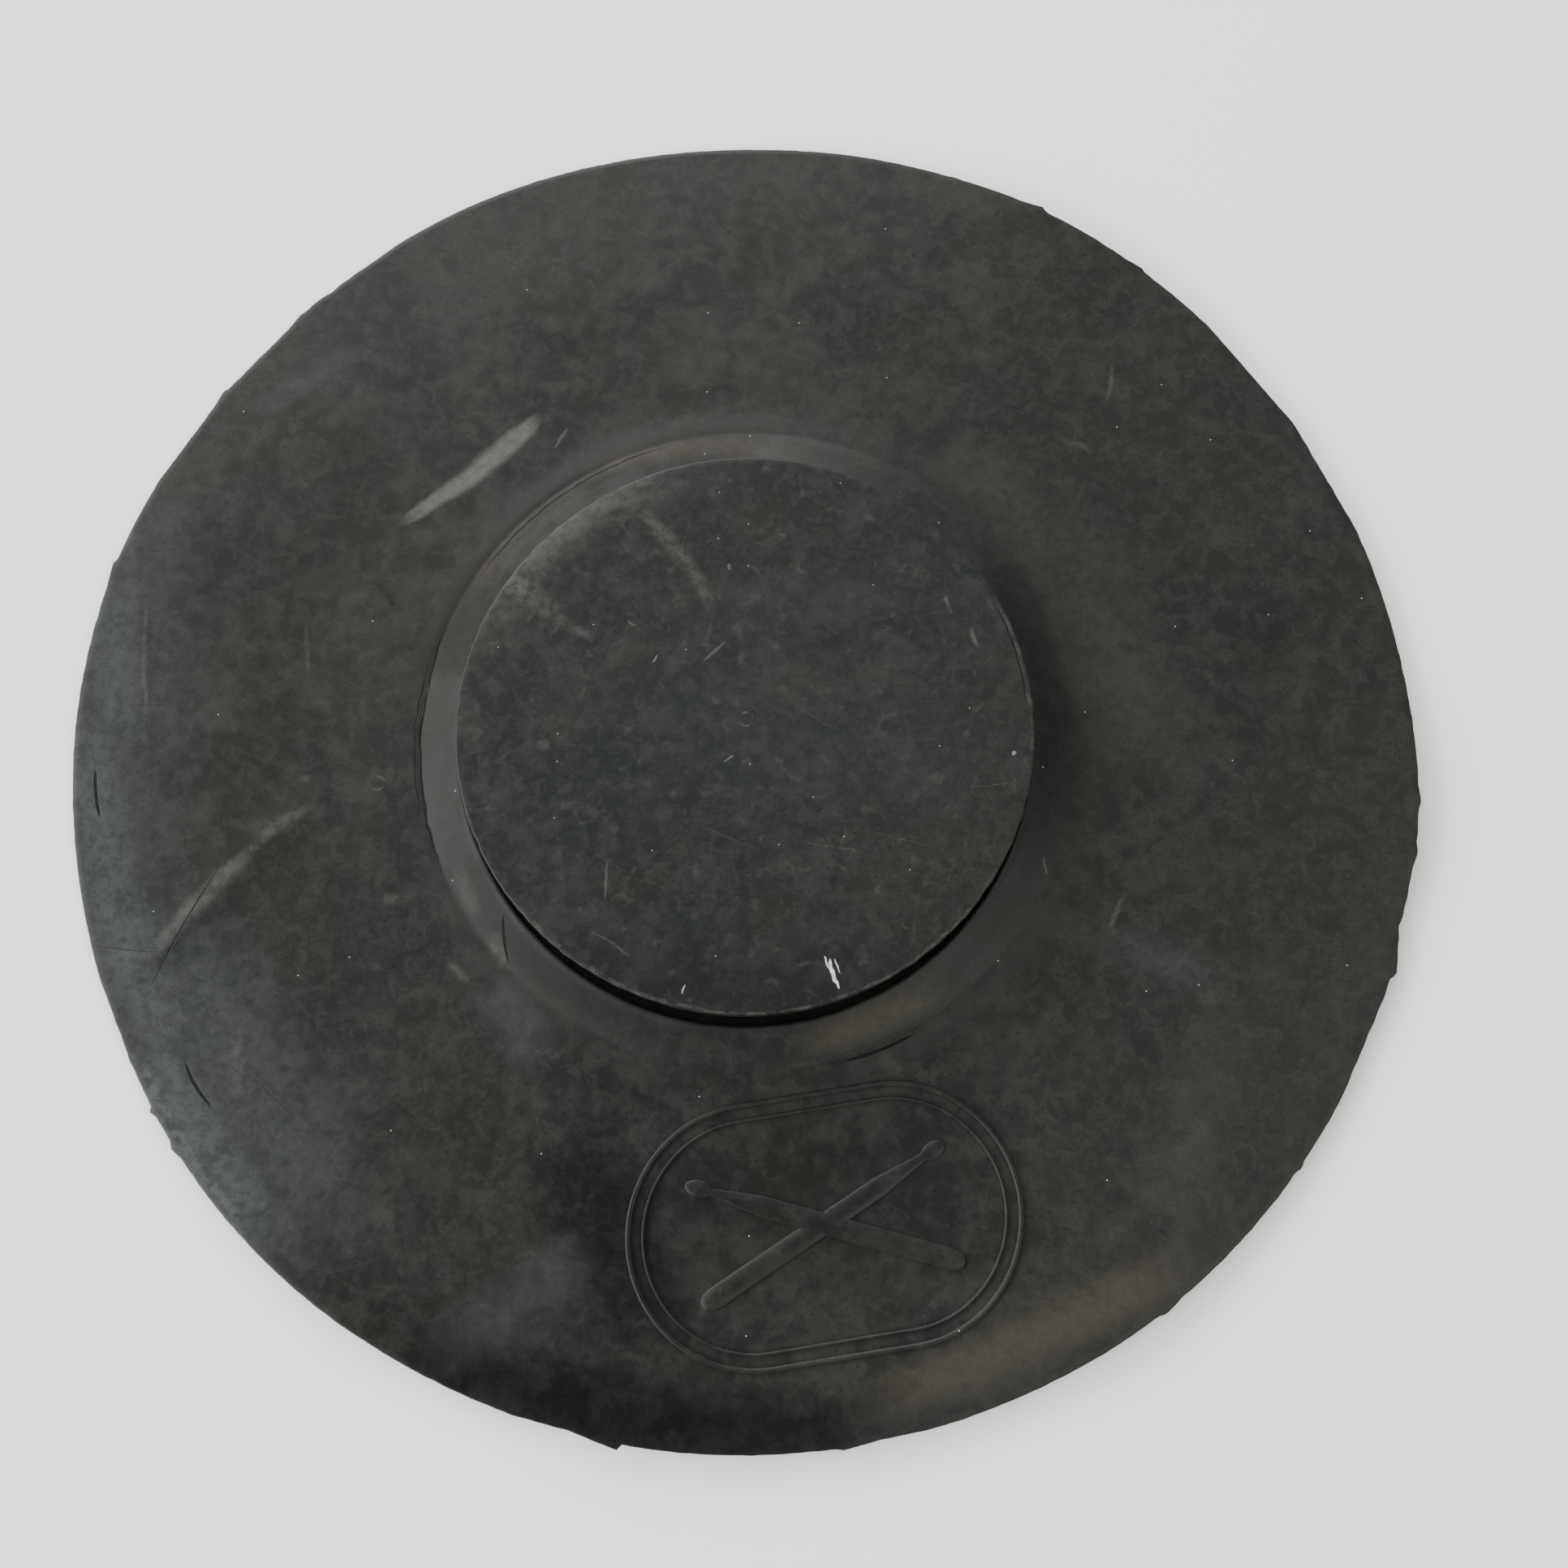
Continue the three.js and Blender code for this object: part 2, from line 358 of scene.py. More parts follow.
# %% Model the sheet
sheet_profile = outlined([  # points since the row before, radius, height, weight
    (1, 0.0, SEAT_TOP, 0.0),
    (4, LIP_RADIUS, SEAT_TOP, 1.0),
    (3, LIP_RADIUS, LIP_TOP - 0.5 * MM, 1.0),
    (1, LIP_RADIUS + 0.1 * MM, LIP_TOP - 0.2 * MM, 1.0),
    (1, LIP_RADIUS + 0.3 * MM, LIP_TOP - 0.04 * MM, 1.0),
    (1, LIP_RADIUS + 0.6 * MM, LIP_TOP, 1.0),
    (1, LIP_RADIUS + 1.0 * MM, LIP_TOP - 0.12 * MM, 1.0),
    (1, LIP_RADIUS + 1.5 * MM, LIP_TOP - 0.5 * MM, 0.95),
    (8, SKIRT_FOOT - 1.4 * MM, SHEET_TOP + 0.68 * MM, 0.1),
    (1, SKIRT_FOOT - 0.8 * MM, SHEET_TOP + 0.40 * MM, 0.05),
    (1, SKIRT_FOOT - 0.2 * MM, SHEET_TOP + 0.17 * MM, 0.0),
    (1, SKIRT_FOOT + 0.1 * MM, SHEET_TOP + 0.09 * MM, 0.0),
    (1, SKIRT_FOOT + 0.45 * MM, SHEET_TOP + 0.03 * MM, 0.0),
    (1, SKIRT_FOOT + 1.0 * MM, SHEET_TOP, 0.0),
    (7, SKIRT_FOOT + 8.0 * MM, SHEET_TOP, 0.0),
    (33, SHEET_RADIUS - 3.0 * MM, SHEET_TOP, 0.0),
    (1, SHEET_RADIUS - 1.6 * MM, SHEET_TOP, 0.0),
    (1, SHEET_RADIUS - RIM_ROUND, SHEET_TOP, 0.0),
    (1, SHEET_RADIUS - 0.3 * RIM_ROUND, SHEET_TOP - 0.3 * RIM_ROUND, 0.0),
    (1, SHEET_RADIUS, SHEET_TOP - RIM_ROUND, 0.0),
    (1, SHEET_RADIUS - 0.1 * MM, 0.8 * MM, 0.0),
    (1, SHEET_RADIUS - 0.3 * MM, 0.0, 0.0),
    (14, CORE_RADIUS + CLEARANCE, 0.0, 0.0),
    (1, CORE_HEAD + CLEARANCE, SEAT_UNDERSIDE, 0.0),
    (3, 0.0, SEAT_UNDERSIDE, 0.0),
])
sheet_bm, lip_weight = turned(sheet_profile, TURN_STEPS)
for vert in sheet_bm.verts:
    radius = math.hypot(vert.co.x, vert.co.y)
    if radius < TOUCHING:
        continue
    direction = math.degrees(math.atan2(vert.co.y, vert.co.x))
    gap = seat_gap(direction)
    out = radius + (gap + bulge(direction)) * vert[lip_weight]
    on_top = vert.co.z > SHEET_TOP / 2
    near_rim = smooth((radius - SHEET_RADIUS + SNIP_REACH) / SNIP_REACH)
    at_rim = smooth((radius - SHEET_RADIUS + TAG_REACH) / TAG_REACH)
    out += at_rim * tag_reach(direction) - near_rim * snip_depth(direction)
    vert.co.x *= out / radius
    vert.co.y *= out / radius
    vert.co.z += lie(vert.co.x, vert.co.y)
    if on_top:
        vert.co.z += foot_change(direction, radius)
        vert.co.z -= LIP_DROP_OPEN * (gap / SEAT_OPENING) * vert[lip_weight] ** 2
        if radius > LIP_RADIUS - CLEARANCE and vert.co.z > SEAT_TOP:
            vert.co.z += WORN_LIP_RISE * worn(direction) * vert[lip_weight] ** 2
sheet = finished(sheet_bm, "moulded_sheet", "base_sheet")

# %% [markdown]
# ## The striking disc
#
# The disc could be a bevelled cylinder, but its rim is cut by knife and rubbed by years of sticks.
# A turned profile with many rings near the rim lets the cut edge wander a little, and lets the rim
# sink into the lip where it is worn away.

# %% Model the striking disc
DISC_ROUND = 0.55 * MM
EDGE_WANDER = 0.22 * MM
WORN_DROP = 0.8 * MM
WORN_EASE = 2.5
SLOW_WANDER = 0.35  # how fast the rim wanders, for each degree
QUICK_WANDER = 1.9
disc_profile = outlined([  # points since the row before, radius, height, weight
    (1, 0.0, DISC_TOP, 0.0),
    (8, DISC_RADIUS - 8 * MM, DISC_TOP, 0.0),
    (8, DISC_RADIUS - DISC_ROUND, DISC_TOP, 1.0),
    (1, DISC_RADIUS - 0.6 * DISC_ROUND, DISC_TOP - 0.1 * DISC_ROUND, 1.0),
    (1, DISC_RADIUS - 0.25 * DISC_ROUND, DISC_TOP - 0.35 * DISC_ROUND, 1.0),
    (1, DISC_RADIUS, DISC_TOP - DISC_ROUND, 1.0),
    (3, DISC_RADIUS - 0.15 * MM, disc_low.z, 0.0),
    (3, 0.0, disc_low.z, 0.0),
])
disc_bm, rim_weight = turned(disc_profile, TURN_STEPS)
for vert in disc_bm.verts:
    radius = math.hypot(vert.co.x, vert.co.y)
    if radius < TOUCHING:
        continue
    direction = math.degrees(math.atan2(vert.co.y, vert.co.x))
    wander = noise.noise(Vector((direction * SLOW_WANDER, 0.0, 9.0)))
    wander += 0.5 * noise.noise(Vector((direction * QUICK_WANDER, 3.0, 0.0)))
    amount = vert[rim_weight] ** 3
    out = radius + amount * (EDGE_WANDER * wander + bulge(direction))
    vert.co.x *= out / radius
    vert.co.y *= out / radius
    vert.co.z -= WORN_DROP * worn(direction) * vert[rim_weight] ** WORN_EASE
bmesh.ops.translate(disc_bm, verts=disc_bm.verts, vec=(DISC_MIDDLE.x, DISC_MIDDLE.y, 0.0))
disc = finished(disc_bm, "striking_face", "striking_disc")

# %% [markdown]
# ## The sponge core
#
# The core fills the hollow, so that the thin sheet doesn't give way under a stick. It only shows
# from below. A bevelled cylinder would do, but its sides taper with the hollow, so it is turned too,
# with softly rounded corners.

# %% Model the core
CORE_STEPS = 256
core_bm, _ = turned(outlined([
    (1, 0.0, CORE_TOP, 0.0),
    (1, CORE_HEAD - 1.0 * MM, CORE_TOP, 0.0),
    (1, CORE_HEAD, CORE_TOP - 0.8 * MM, 0.0),
    (1, CORE_RADIUS, 0.6 * MM, 0.0),
    (1, CORE_RADIUS - 0.6 * MM, core_low.z, 0.0),
    (6, 0.0, core_low.z, 0.0),
]), CORE_STEPS)
core = finished(core_bm, "core_filling", "sponge_core")

# %% [markdown]
# ## The raised emblem
#
# The emblem was cut into the mould, so it stands up from the sheet as low ribs: a double outline
# with round ends, and a pair of crossed drumsticks inside it. A bump map would show it from above
# but not from the side. Each rib is a small rounded section spun and drawn along its path, and each
# stick is a turned shape pressed flat and half sunk, so both catch the light as moulded rubber does.

# %% Emblem sizes
EMBLEM_DIRECTION = math.radians(-81)
EMBLEM_DISTANCE = 108 * MM
EMBLEM_LENGTH = 84 * MM
EMBLEM_WIDTH = 54 * MM
INNER_STEP = 6.4 * MM
RIB_HEIGHT = 0.72 * MM
RIB_SUNK = 0.35 * MM
OUTER_RIB = 0.75 * MM
INNER_RIB = 0.45 * MM
RIB_END_STEPS = 64
RIB_RUN_STEPS = 40
STICK_HALF = 31 * MM
STICK_TILT = math.radians(24)
STICK_FLATTEN = 0.3
STICK_OVERLAP = 0.12 * MM
STICK_STEPS = 24
STICK_OUTLINE = outlined([  # points since the row before, along, radius
    (1, -STICK_HALF, 0.0),
    (1, -STICK_HALF + 0.5 * MM, 1.3 * MM),
    (1, -STICK_HALF + 1.6 * MM, 2.1 * MM),
    (1, -STICK_HALF + 3.5 * MM, 2.4 * MM),
    (24, 14 * MM, 2.3 * MM),
    (10, STICK_HALF - 6.4 * MM, 1.0 * MM),
    (1, STICK_HALF - 5.6 * MM, 1.1 * MM),
    (1, STICK_HALF - 4.8 * MM, 1.6 * MM),
    (1, STICK_HALF - 3.6 * MM, 1.95 * MM),
    (1, STICK_HALF - 2.2 * MM, 1.85 * MM),
    (1, STICK_HALF - 0.9 * MM, 1.25 * MM),
    (1, STICK_HALF - 0.2 * MM, 0.6 * MM),
    (1, STICK_HALF, 0.0),
])
print("a stick is", round(2 * STICK_HALF / MM, 1), "mm long, with", len(STICK_OUTLINE), "points")

# %% [markdown]
# ## Ribs and sticks
#
# A rib goes half round one end of its outline and then runs straight to the other end, twice. The
# straight run is made in short steps, so that it can follow the sheet's waves. A stick is its own
# outline spun round, then pressed to a third of its height.


# %% Helpers for ribs and sticks
def rib_section(bm, x, y, half_width):
    """A closed arch across the rib's path, in the plane of constant x."""
    arch = [(-1, -RIB_SUNK), (-0.82, 0.35 * RIB_HEIGHT), (-0.5, 0.85 * RIB_HEIGHT), (0, RIB_HEIGHT),
            (0.5, 0.85 * RIB_HEIGHT), (0.82, 0.35 * RIB_HEIGHT), (1, -RIB_SUNK)]
    verts = [bm.verts.new((x, y + across * half_width, up)) for across, up in arch]
    return verts + [bm.edges.new(pair) for pair in zip(verts, verts[1:] + verts[:1])]


def stadium_rib(bm, length, width, half_width):
    """A rib round an outline with two half-round ends joined by two straight runs."""
    middle = (length - width) / 2
    for side in (1, -1):
        section = rib_section(bm, side * middle, -side * width / 2, half_width)
        front = bmesh.ops.spin(bm, geom=section, cent=(side * middle, 0, 0), axis=(0, 0, 1),
                               angle=math.pi, steps=RIB_END_STEPS)["geom_last"]
        for _ in range(RIB_RUN_STEPS):
            edges = [item for item in front if isinstance(item, bmesh.types.BMEdge)]
            front = bmesh.ops.extrude_edge_only(bm, edges=edges)["geom"]
            moved = [item for item in front if isinstance(item, bmesh.types.BMVert)]
            bmesh.ops.translate(bm, verts=moved, vec=(-side * 2 * middle / RIB_RUN_STEPS, 0, 0))


def drumstick(bm, tilt, lift):
    """A flattened drumstick, from its butt to its oval tip, half sunk in the sheet."""
    before = set(bm.verts)
    verts = [bm.verts.new((x, 0, radius)) for x, radius in STICK_OUTLINE]
    edges = [bm.edges.new(pair) for pair in zip(verts, verts[1:])]
    bmesh.ops.spin(bm, geom=verts + edges, cent=(0, 0, 0), axis=(1, 0, 0),
                   angle=2 * math.pi, steps=STICK_STEPS, use_merge=True)
    pressed = (Matrix.Rotation(tilt, 4, "Z") @ Matrix.Translation((0, 0, lift))
               @ Matrix.Diagonal((1, 1, STICK_FLATTEN, 1)))
    bmesh.ops.transform(bm, matrix=pressed, verts=[vert for vert in bm.verts if vert not in before])


# %% Model the emblem
emblem_bm = bmesh.new()
drumstick(emblem_bm, STICK_TILT, 0.0)
drumstick(emblem_bm, math.pi - STICK_TILT, STICK_OVERLAP)
stadium_rib(emblem_bm, EMBLEM_LENGTH, EMBLEM_WIDTH, OUTER_RIB)
stadium_rib(emblem_bm, EMBLEM_LENGTH - INNER_STEP, EMBLEM_WIDTH - INNER_STEP, INNER_RIB)
bmesh.ops.remove_doubles(emblem_bm, verts=emblem_bm.verts, dist=0.01 * MM)
bmesh.ops.recalc_face_normals(emblem_bm, faces=emblem_bm.faces)
emblem_middle = Vector((math.cos(EMBLEM_DIRECTION), math.sin(EMBLEM_DIRECTION), 0.0)) * EMBLEM_DISTANCE
emblem_middle.z = SHEET_TOP
emblem_turn = Matrix.Rotation(EMBLEM_DIRECTION + math.pi / 2, 4, "Z")
emblem_place = Matrix.Translation(emblem_middle) @ emblem_turn
bmesh.ops.transform(emblem_bm, matrix=emblem_place, verts=emblem_bm.verts)
for vert in emblem_bm.verts:
    vert.co.z += lie(vert.co.x, vert.co.y)
emblem = finished(emblem_bm, "raised_emblem", "base_sheet")

# %% [markdown]
# ## Building shader nodes
#
# Old rubber is black, but never evenly so: it goes brown where it has dried out, blue-black where
# oil stays in it, and pale where it blooms or is rubbed. All of this is painted by nodes that read
# the pad's own coordinates, so the pattern belongs to the pad from every side. An image texture
# would be simpler, but these nodes stay sharp at any distance and each mark can be moved by name.
# A few helpers keep the node trees short enough to read.

# %% Node helpers
def add(tree, kind, inputs=None, **options):
    """Adds a node, sets its options, then gives its inputs values or links."""
    node = tree.nodes.new("ShaderNode" + kind)
    for option, value in options.items():
        setattr(node, option, value)
    for name, value in (inputs or {}).items():
        socket = node.inputs[name]
        if isinstance(value, bpy.types.NodeSocket):
            tree.links.new(value, socket)
        else:
            socket.default_value = (*value, 1.0) if socket.type == "RGBA" else value
    return node


def calc(tree, operation, *values):
    return add(tree, "Math", dict(enumerate(values)), operation=operation).outputs[0]


def times(tree, first, second):
    return calc(tree, "MULTIPLY", first, second)


def remap(tree, value, low, high, to_low=0.0, to_high=1.0):
    """Eases value from low..high to to_low..to_high, and holds it at both ends."""
    ends = {"Value": value, "From Min": low, "From Max": high, "To Min": to_low, "To Max": to_high}
    return add(tree, "MapRange", ends, interpolation_type="SMOOTHSTEP").outputs["Result"]


def mix(tree, share, first, second):
    return add(tree, "Mix", {0: share, 6: first, 7: second}, data_type="RGBA").outputs[2]


def fractal(tree, vector, size, detail=3.0, roughness=0.55, distortion=0.0):
    """Noise whose features are about size metres across."""
    ends = {"Vector": vector, "Scale": 1 / size, "Detail": detail, "Roughness": roughness,
            "Distortion": distortion}
    return add(tree, "TexNoise", ends)


def xyz(tree, vector):
    return add(tree, "SeparateXYZ", {0: vector}).outputs


def own_axes(tree, vector, place, turn, scale=(1.0, 1.0, 1.0)):
    """The vector as seen from a mark's own place, turned and scaled to its own axes."""
    about_z = add(tree, "CombineXYZ", {"Z": turn}).outputs[0]
    ends = {"Vector": vector, "Location": place, "Rotation": about_z, "Scale": scale}
    return add(tree, "Mapping", ends, vector_type="TEXTURE").outputs[0]


def new_group(name, inputs, outputs):
    """A shader node group. inputs lists (name, kind, default), and outputs lists names of masks."""
    tree = bpy.data.node_groups.new(name, "ShaderNodeTree")
    for label, kind, default in inputs:
        socket = tree.interface.new_socket(label, in_out="INPUT", socket_type="NodeSocket" + kind)
        if default is not None:
            socket.default_value = default
    for label in outputs:
        tree.interface.new_socket(label, in_out="OUTPUT", socket_type="NodeSocketFloat")
    return tree, tree.nodes.new("NodeGroupInput").outputs, tree.nodes.new("NodeGroupOutput").inputs


def use(tree, group, **inputs):
    return add(tree, "Group", inputs, node_tree=group).outputs


# %% [markdown]
# ## Blotches
#
# Two sizes of noise give the slow drift from brown to blue-black, and a third, finer one gives the
# small clouds of bloom that make the surface look handled.

# %% Group: blotches
ELSEWHERE = (7.3, 2.1, 5.5)  # a step aside, so that the sizes of noise don't line up
blotches, given, result = new_group(
    "rubber_blotches",
    [("Vector", "Vector", None), ("Size", "Float", 30 * MM)],
    ["Warmth", "Bloom", "Smudges"],
)
scaled = add(blotches, "VectorMath", {0: given["Vector"]}, operation="SCALE")
blotches.links.new(calc(blotches, "DIVIDE", 1.0, given["Size"]), scaled.inputs["Scale"])
shifted = add(blotches, "VectorMath", {0: scaled.outputs[0], 1: ELSEWHERE}, operation="ADD").outputs[0]
wide = fractal(blotches, scaled.outputs[0], 1.0, 3.0, 0.6, 0.4).outputs["Fac"]
middling = fractal(blotches, shifted, 0.32, 4.0, 0.62, 0.6).outputs["Fac"]
small = fractal(blotches, shifted, 0.11, 3.0, 0.6, 0.3).outputs["Fac"]
clouds = calc(blotches, "ADD", times(blotches, middling, 0.6), times(blotches, small, 0.4))
blotches.links.new(remap(blotches, wide, 0.36, 0.64), result["Warmth"])
blotches.links.new(remap(blotches, clouds, 0.44, 0.62), result["Bloom"])
blotches.links.new(remap(blotches, small, 0.52, 0.72), result["Smudges"])

# %% [markdown]
# ## Moulded grain
#
# Close up, the rubber has the fine orange-peel of its sandblasted mould. Noise at under half a
# millimetre gives both a height for the bump and a slight speckle of colour.

# %% Group: grain
PEEL_SIZE = 0.42 * MM
PIT_SPACING = 1.3 * MM
grain, given, result = new_group("moulded_grain", [("Vector", "Vector", None)], ["Height", "Speck"])
peel = fractal(grain, given["Vector"], PEEL_SIZE, 3.0, 0.65).outputs["Fac"]
pits = add(grain, "TexVoronoi", {"Vector": given["Vector"], "Scale": 1 / PIT_SPACING}).outputs["Distance"]
dimples = times(grain, remap(grain, pits, 0.0, 0.16), 0.35)
grain.links.new(calc(grain, "ADD", peel, dimples), result["Height"])
grain.links.new(remap(grain, peel, 0.3, 0.7), result["Speck"])

# %% [markdown]
# ## Rub marks
#
# Every rub, sheen and stain is one soft oval: a place, a direction, a length, a width and a bend.
# The group works in the mark's own axes, where the oval runs from -1 to 1, and puts out a mask.
# The broken-up look comes from a noise that the material makes once and hands to every mark.

# %% Group: rub mark
rub_mark, given, result = new_group(
    "rub_mark",
    [("Vector", "Vector", None), ("Place", "Vector", (0, 0, 0)), ("Turn", "Float", 0.0),
     ("Size", "Vector", (0.01, 0.005, 1.0)), ("Bend", "Float", 0.0), ("Soft", "Float", 0.5),
     ("Patchy", "Float", 0.3), ("Patches", "Float", 1.0)],
    ["Mask"],
)
axes = xyz(rub_mark, own_axes(rub_mark, given["Vector"], given["Place"], given["Turn"], given["Size"]))
along = times(rub_mark, axes[0], axes[0])
bent = calc(rub_mark, "SUBTRACT", axes[1], times(rub_mark, given["Bend"], along))
taper = calc(rub_mark, "SQRT", calc(rub_mark, "MAXIMUM", calc(rub_mark, "SUBTRACT", 1.0, along), 0.0001))
across = calc(rub_mark, "DIVIDE", calc(rub_mark, "ABSOLUTE", bent), taper)
edge = calc(rub_mark, "MAXIMUM", across, along)
shape = remap(rub_mark, edge, calc(rub_mark, "SUBTRACT", 1.0, given["Soft"]), 1.0, 1.0, 0.0)
missing = times(rub_mark, given["Patchy"], calc(rub_mark, "SUBTRACT", 1.0, given["Patches"]))
left = times(rub_mark, shape, calc(rub_mark, "SUBTRACT", 1.0, missing))
rub_mark.links.new(left, result["Mask"])

# %% [markdown]
# ## Ring lines
#
# Cracks and creases run round the raised centre, the skirt's slope is more matt on some sides, a
# rubbed line runs along the disc's rim, and a painted highlight runs along the lifted rim of the sheet.
# All are arcs: a middle, a radius, a width and a stretch of direction. A little noise makes them wander.

# %% Group: ring line
ring_line, given, result = new_group(
    "ring_line",
    [("Vector", "Vector", None), ("Place", "Vector", (0, 0, 0)), ("Radius", "Float", 0.05),
     ("Width", "Float", 0.001), ("Middle", "Float", 0.0), ("Spread", "Float", 0.5),
     ("Wander", "Float", 0.0)],
    ["Mask"],
)
axes = xyz(ring_line, own_axes(ring_line, given["Vector"], given["Place"], given["Middle"]))
squares = calc(ring_line, "ADD", times(ring_line, axes[0], axes[0]), times(ring_line, axes[1], axes[1]))
radius = calc(ring_line, "SQRT", squares)
off = calc(ring_line, "SUBTRACT", calc(ring_line, "ADD", radius, given["Wander"]), given["Radius"])
line = remap(ring_line, calc(ring_line, "DIVIDE", calc(ring_line, "ABSOLUTE", off), given["Width"]),
             0.3, 1.0, 1.0, 0.0)
direction = calc(ring_line, "ABSOLUTE", calc(ring_line, "ARCTAN2", axes[1], axes[0]))
stretch = remap(ring_line, calc(ring_line, "DIVIDE", direction, given["Spread"]), 0.6, 1.0, 1.0, 0.0)
ring_line.links.new(times(ring_line, line, stretch), result["Mask"])

# %% [markdown]
# ## Scratches, dust and edges
#
# Fine scratches are noise stretched along one direction and cut off high. Dust is a few bright dots:
# in each cell of a Voronoi pattern a random number decides whether that cell has a dot at all. Worn
# edges are found from the way the surface faces: neither up nor sideways, but in between.

# %% Group: fine scratches
SCRATCH_WIDTH = 0.3 * MM
scratches, given, result = new_group(
    "fine_scratches",
    [("Vector", "Vector", None), ("Turn", "Float", 0.0), ("Length", "Float", 20 * MM),
     ("Amount", "Float", 0.5)],
    ["Mask"],
)
size = add(scratches, "CombineXYZ", {"X": given["Length"], "Y": SCRATCH_WIDTH, "Z": 1.0}).outputs[0]
drawn_out = own_axes(scratches, given["Vector"], (0, 0, 0), given["Turn"], size)
hair = fractal(scratches, drawn_out, 1.0, 0.0, 0.5, 0.0).outputs["Fac"]
limit = calc(scratches, "SUBTRACT", 0.88, times(scratches, given["Amount"], 0.12))
scratches.links.new(remap(scratches, hair, limit, calc(scratches, "ADD", limit, 0.06)), result["Mask"])

# %% Group: dust
dust, given, result = new_group(
    "dust_specks",
    [("Vector", "Vector", None), ("Spacing", "Float", 10 * MM), ("Size", "Float", 0.2 * MM),
     ("Share", "Float", 0.3)],
    ["Mask"],
)
density = calc(dust, "DIVIDE", 1.0, given["Spacing"])
cells = add(dust, "TexVoronoi", {"Vector": given["Vector"], "Scale": density}, voronoi_dimensions="2D")
distance = times(dust, cells.outputs["Distance"], given["Spacing"])
reach = calc(dust, "DIVIDE", distance, given["Size"])
chance = add(dust, "SeparateColor", {0: cells.outputs["Color"]}).outputs[0]
present = calc(dust, "LESS_THAN", chance, given["Share"])
dust.links.new(times(dust, remap(dust, reach, 0.6, 1.0, 1.0, 0.0), present), result["Mask"])

# %% Group: worn edge
worn_edge, given, result = new_group(
    "worn_edge", [("Normal", "Vector", None), ("Patches", "Float", 1.0)], ["Mask", "Faces up"])
facing = xyz(worn_edge, given["Normal"])[2]
between = calc(worn_edge, "ABSOLUTE", calc(worn_edge, "SUBTRACT", facing, 0.6))
rubbed = calc(worn_edge, "ADD", 0.35, times(worn_edge, given["Patches"], 0.65))
worn_off = times(worn_edge, remap(worn_edge, between, 0.1, 0.36, 1.0, 0.0), rubbed)
worn_edge.links.new(worn_off, result["Mask"])
worn_edge.links.new(remap(worn_edge, facing, 0.15, 0.6), result["Faces up"])
print("shader groups", sorted(group.name for group in bpy.data.node_groups))

# %% [markdown]
# ## Putting marks into a material
#
# A material starts from its coordinates, the two noises that every mark shares, and coordinates
# pushed about a little so that no mark has a ruled edge. The marks themselves are tables: each row
# gives two ends and a width in millimetres. Marks of one colour are joined into one mask by taking
# the largest, so that two that cross don't add up to a bright spot.

# %% Shared parts of a rubber material
WANDER = 0.9 * MM
PUSH_SIZE = 6 * MM
PATCH_SIZE = 2.4 * MM
RING_SWAY = 1.6 * MM


def new_material(name):
    material = bpy.data.materials.new(name)
    material.use_nodes = True
    return material, material.node_tree, material.node_tree.nodes["Principled BSDF"]


def shared_noise(tree):
    coordinates = add(tree, "TexCoord").outputs
    place = coordinates["Object"]
    push = fractal(tree, place, PUSH_SIZE, 3.0, 0.6)
    halfway = (0.5, 0.5, 0.5)
    centred = add(tree, "VectorMath", {0: push.outputs["Color"], 1: halfway}, operation="SUBTRACT")
    ends = {0: centred.outputs[0], 1: (2 * WANDER,) * 3, 2: place}
    pushed = add(tree, "VectorMath", ends, operation="MULTIPLY_ADD").outputs[0]
    patches = remap(tree, fractal(tree, place, PATCH_SIZE, 3.0, 0.7).outputs["Fac"], 0.38, 0.6)
    sway = times(tree, calc(tree, "SUBTRACT", push.outputs["Fac"], 0.5), RING_SWAY)
    return place, coordinates["Normal"], pushed, patches, sway


def largest(tree, masks):
    total = masks[0]
    for mask in masks[1:]:
        total = calc(tree, "MAXIMUM", total, mask)
    return total


def rubs(tree, vector, patches, rows):
    """One mask for a table of (start, end, half width, bend, soft, patchy, strength)."""
    masks = []
    for start, end, half_width, bend, soft, patchy, strength in rows:
        run = (Vector(end) - Vector(start)) * MM
        middle = (Vector(end) + Vector(start)) * MM / 2
        side = Vector((-run.y, run.x)).normalized()
        middle -= side * bend * MM
        mark = use(tree, rub_mark, Vector=vector, Place=(middle.x, middle.y, 0.0),
                   Turn=math.atan2(run.y, run.x), Size=(run.length / 2, half_width * MM, 1.0),
                   Bend=bend / half_width, Soft=soft, Patchy=patchy, Patches=patches)["Mask"]
        masks.append(times(tree, mark, strength))
    return largest(tree, masks)


def rings(tree, vector, sway, rows):
    """One mask for a table of (radius, half width, from degrees, to degrees, strength, place)."""
    masks = []
    for radius, half_width, first, last, strength, place in rows:
        mark = use(tree, ring_line, Vector=vector, Place=(place[0] * MM, place[1] * MM, 0.0),
                   Radius=radius * MM, Width=half_width * MM,
                   Middle=math.radians(first + last) / 2, Spread=math.radians(last - first) / 2,
                   Wander=sway)["Mask"]
        masks.append(times(tree, mark, strength))
    return largest(tree, masks)


def hairs(tree, vector, rows):
    """One mask for a table of fine scratches (turn, length in millimetres, amount)."""
    return largest(tree, [
        use(tree, scratches, Vector=vector, Turn=turn, Length=length * MM, Amount=amount)["Mask"]
        for turn, length, amount in rows
    ])


# %% [markdown]
# ## Layers and finish
#
# Both rubbers are painted in the same way: a list of named masks, each laid over the last with its
# own tone and strength. Written out as nodes by hand that would be twenty mixers in a row for each
# rubber, so a loop lays them. The same masks then make the rubber rougher or smoother, and the grain
# and the cracks give the bump.

# %% Helpers for layers and finish
RUBBER_SPECULAR = 0.2


def painted(tree, colour, look, masks):
    """Lays each named mask over the colour in turn, in the tone and at the strength of its look."""
    for name, mask in masks.items():
        tone, strength = look[name]
        colour = mix(tree, times(tree, mask, strength), colour, tone)
    return colour


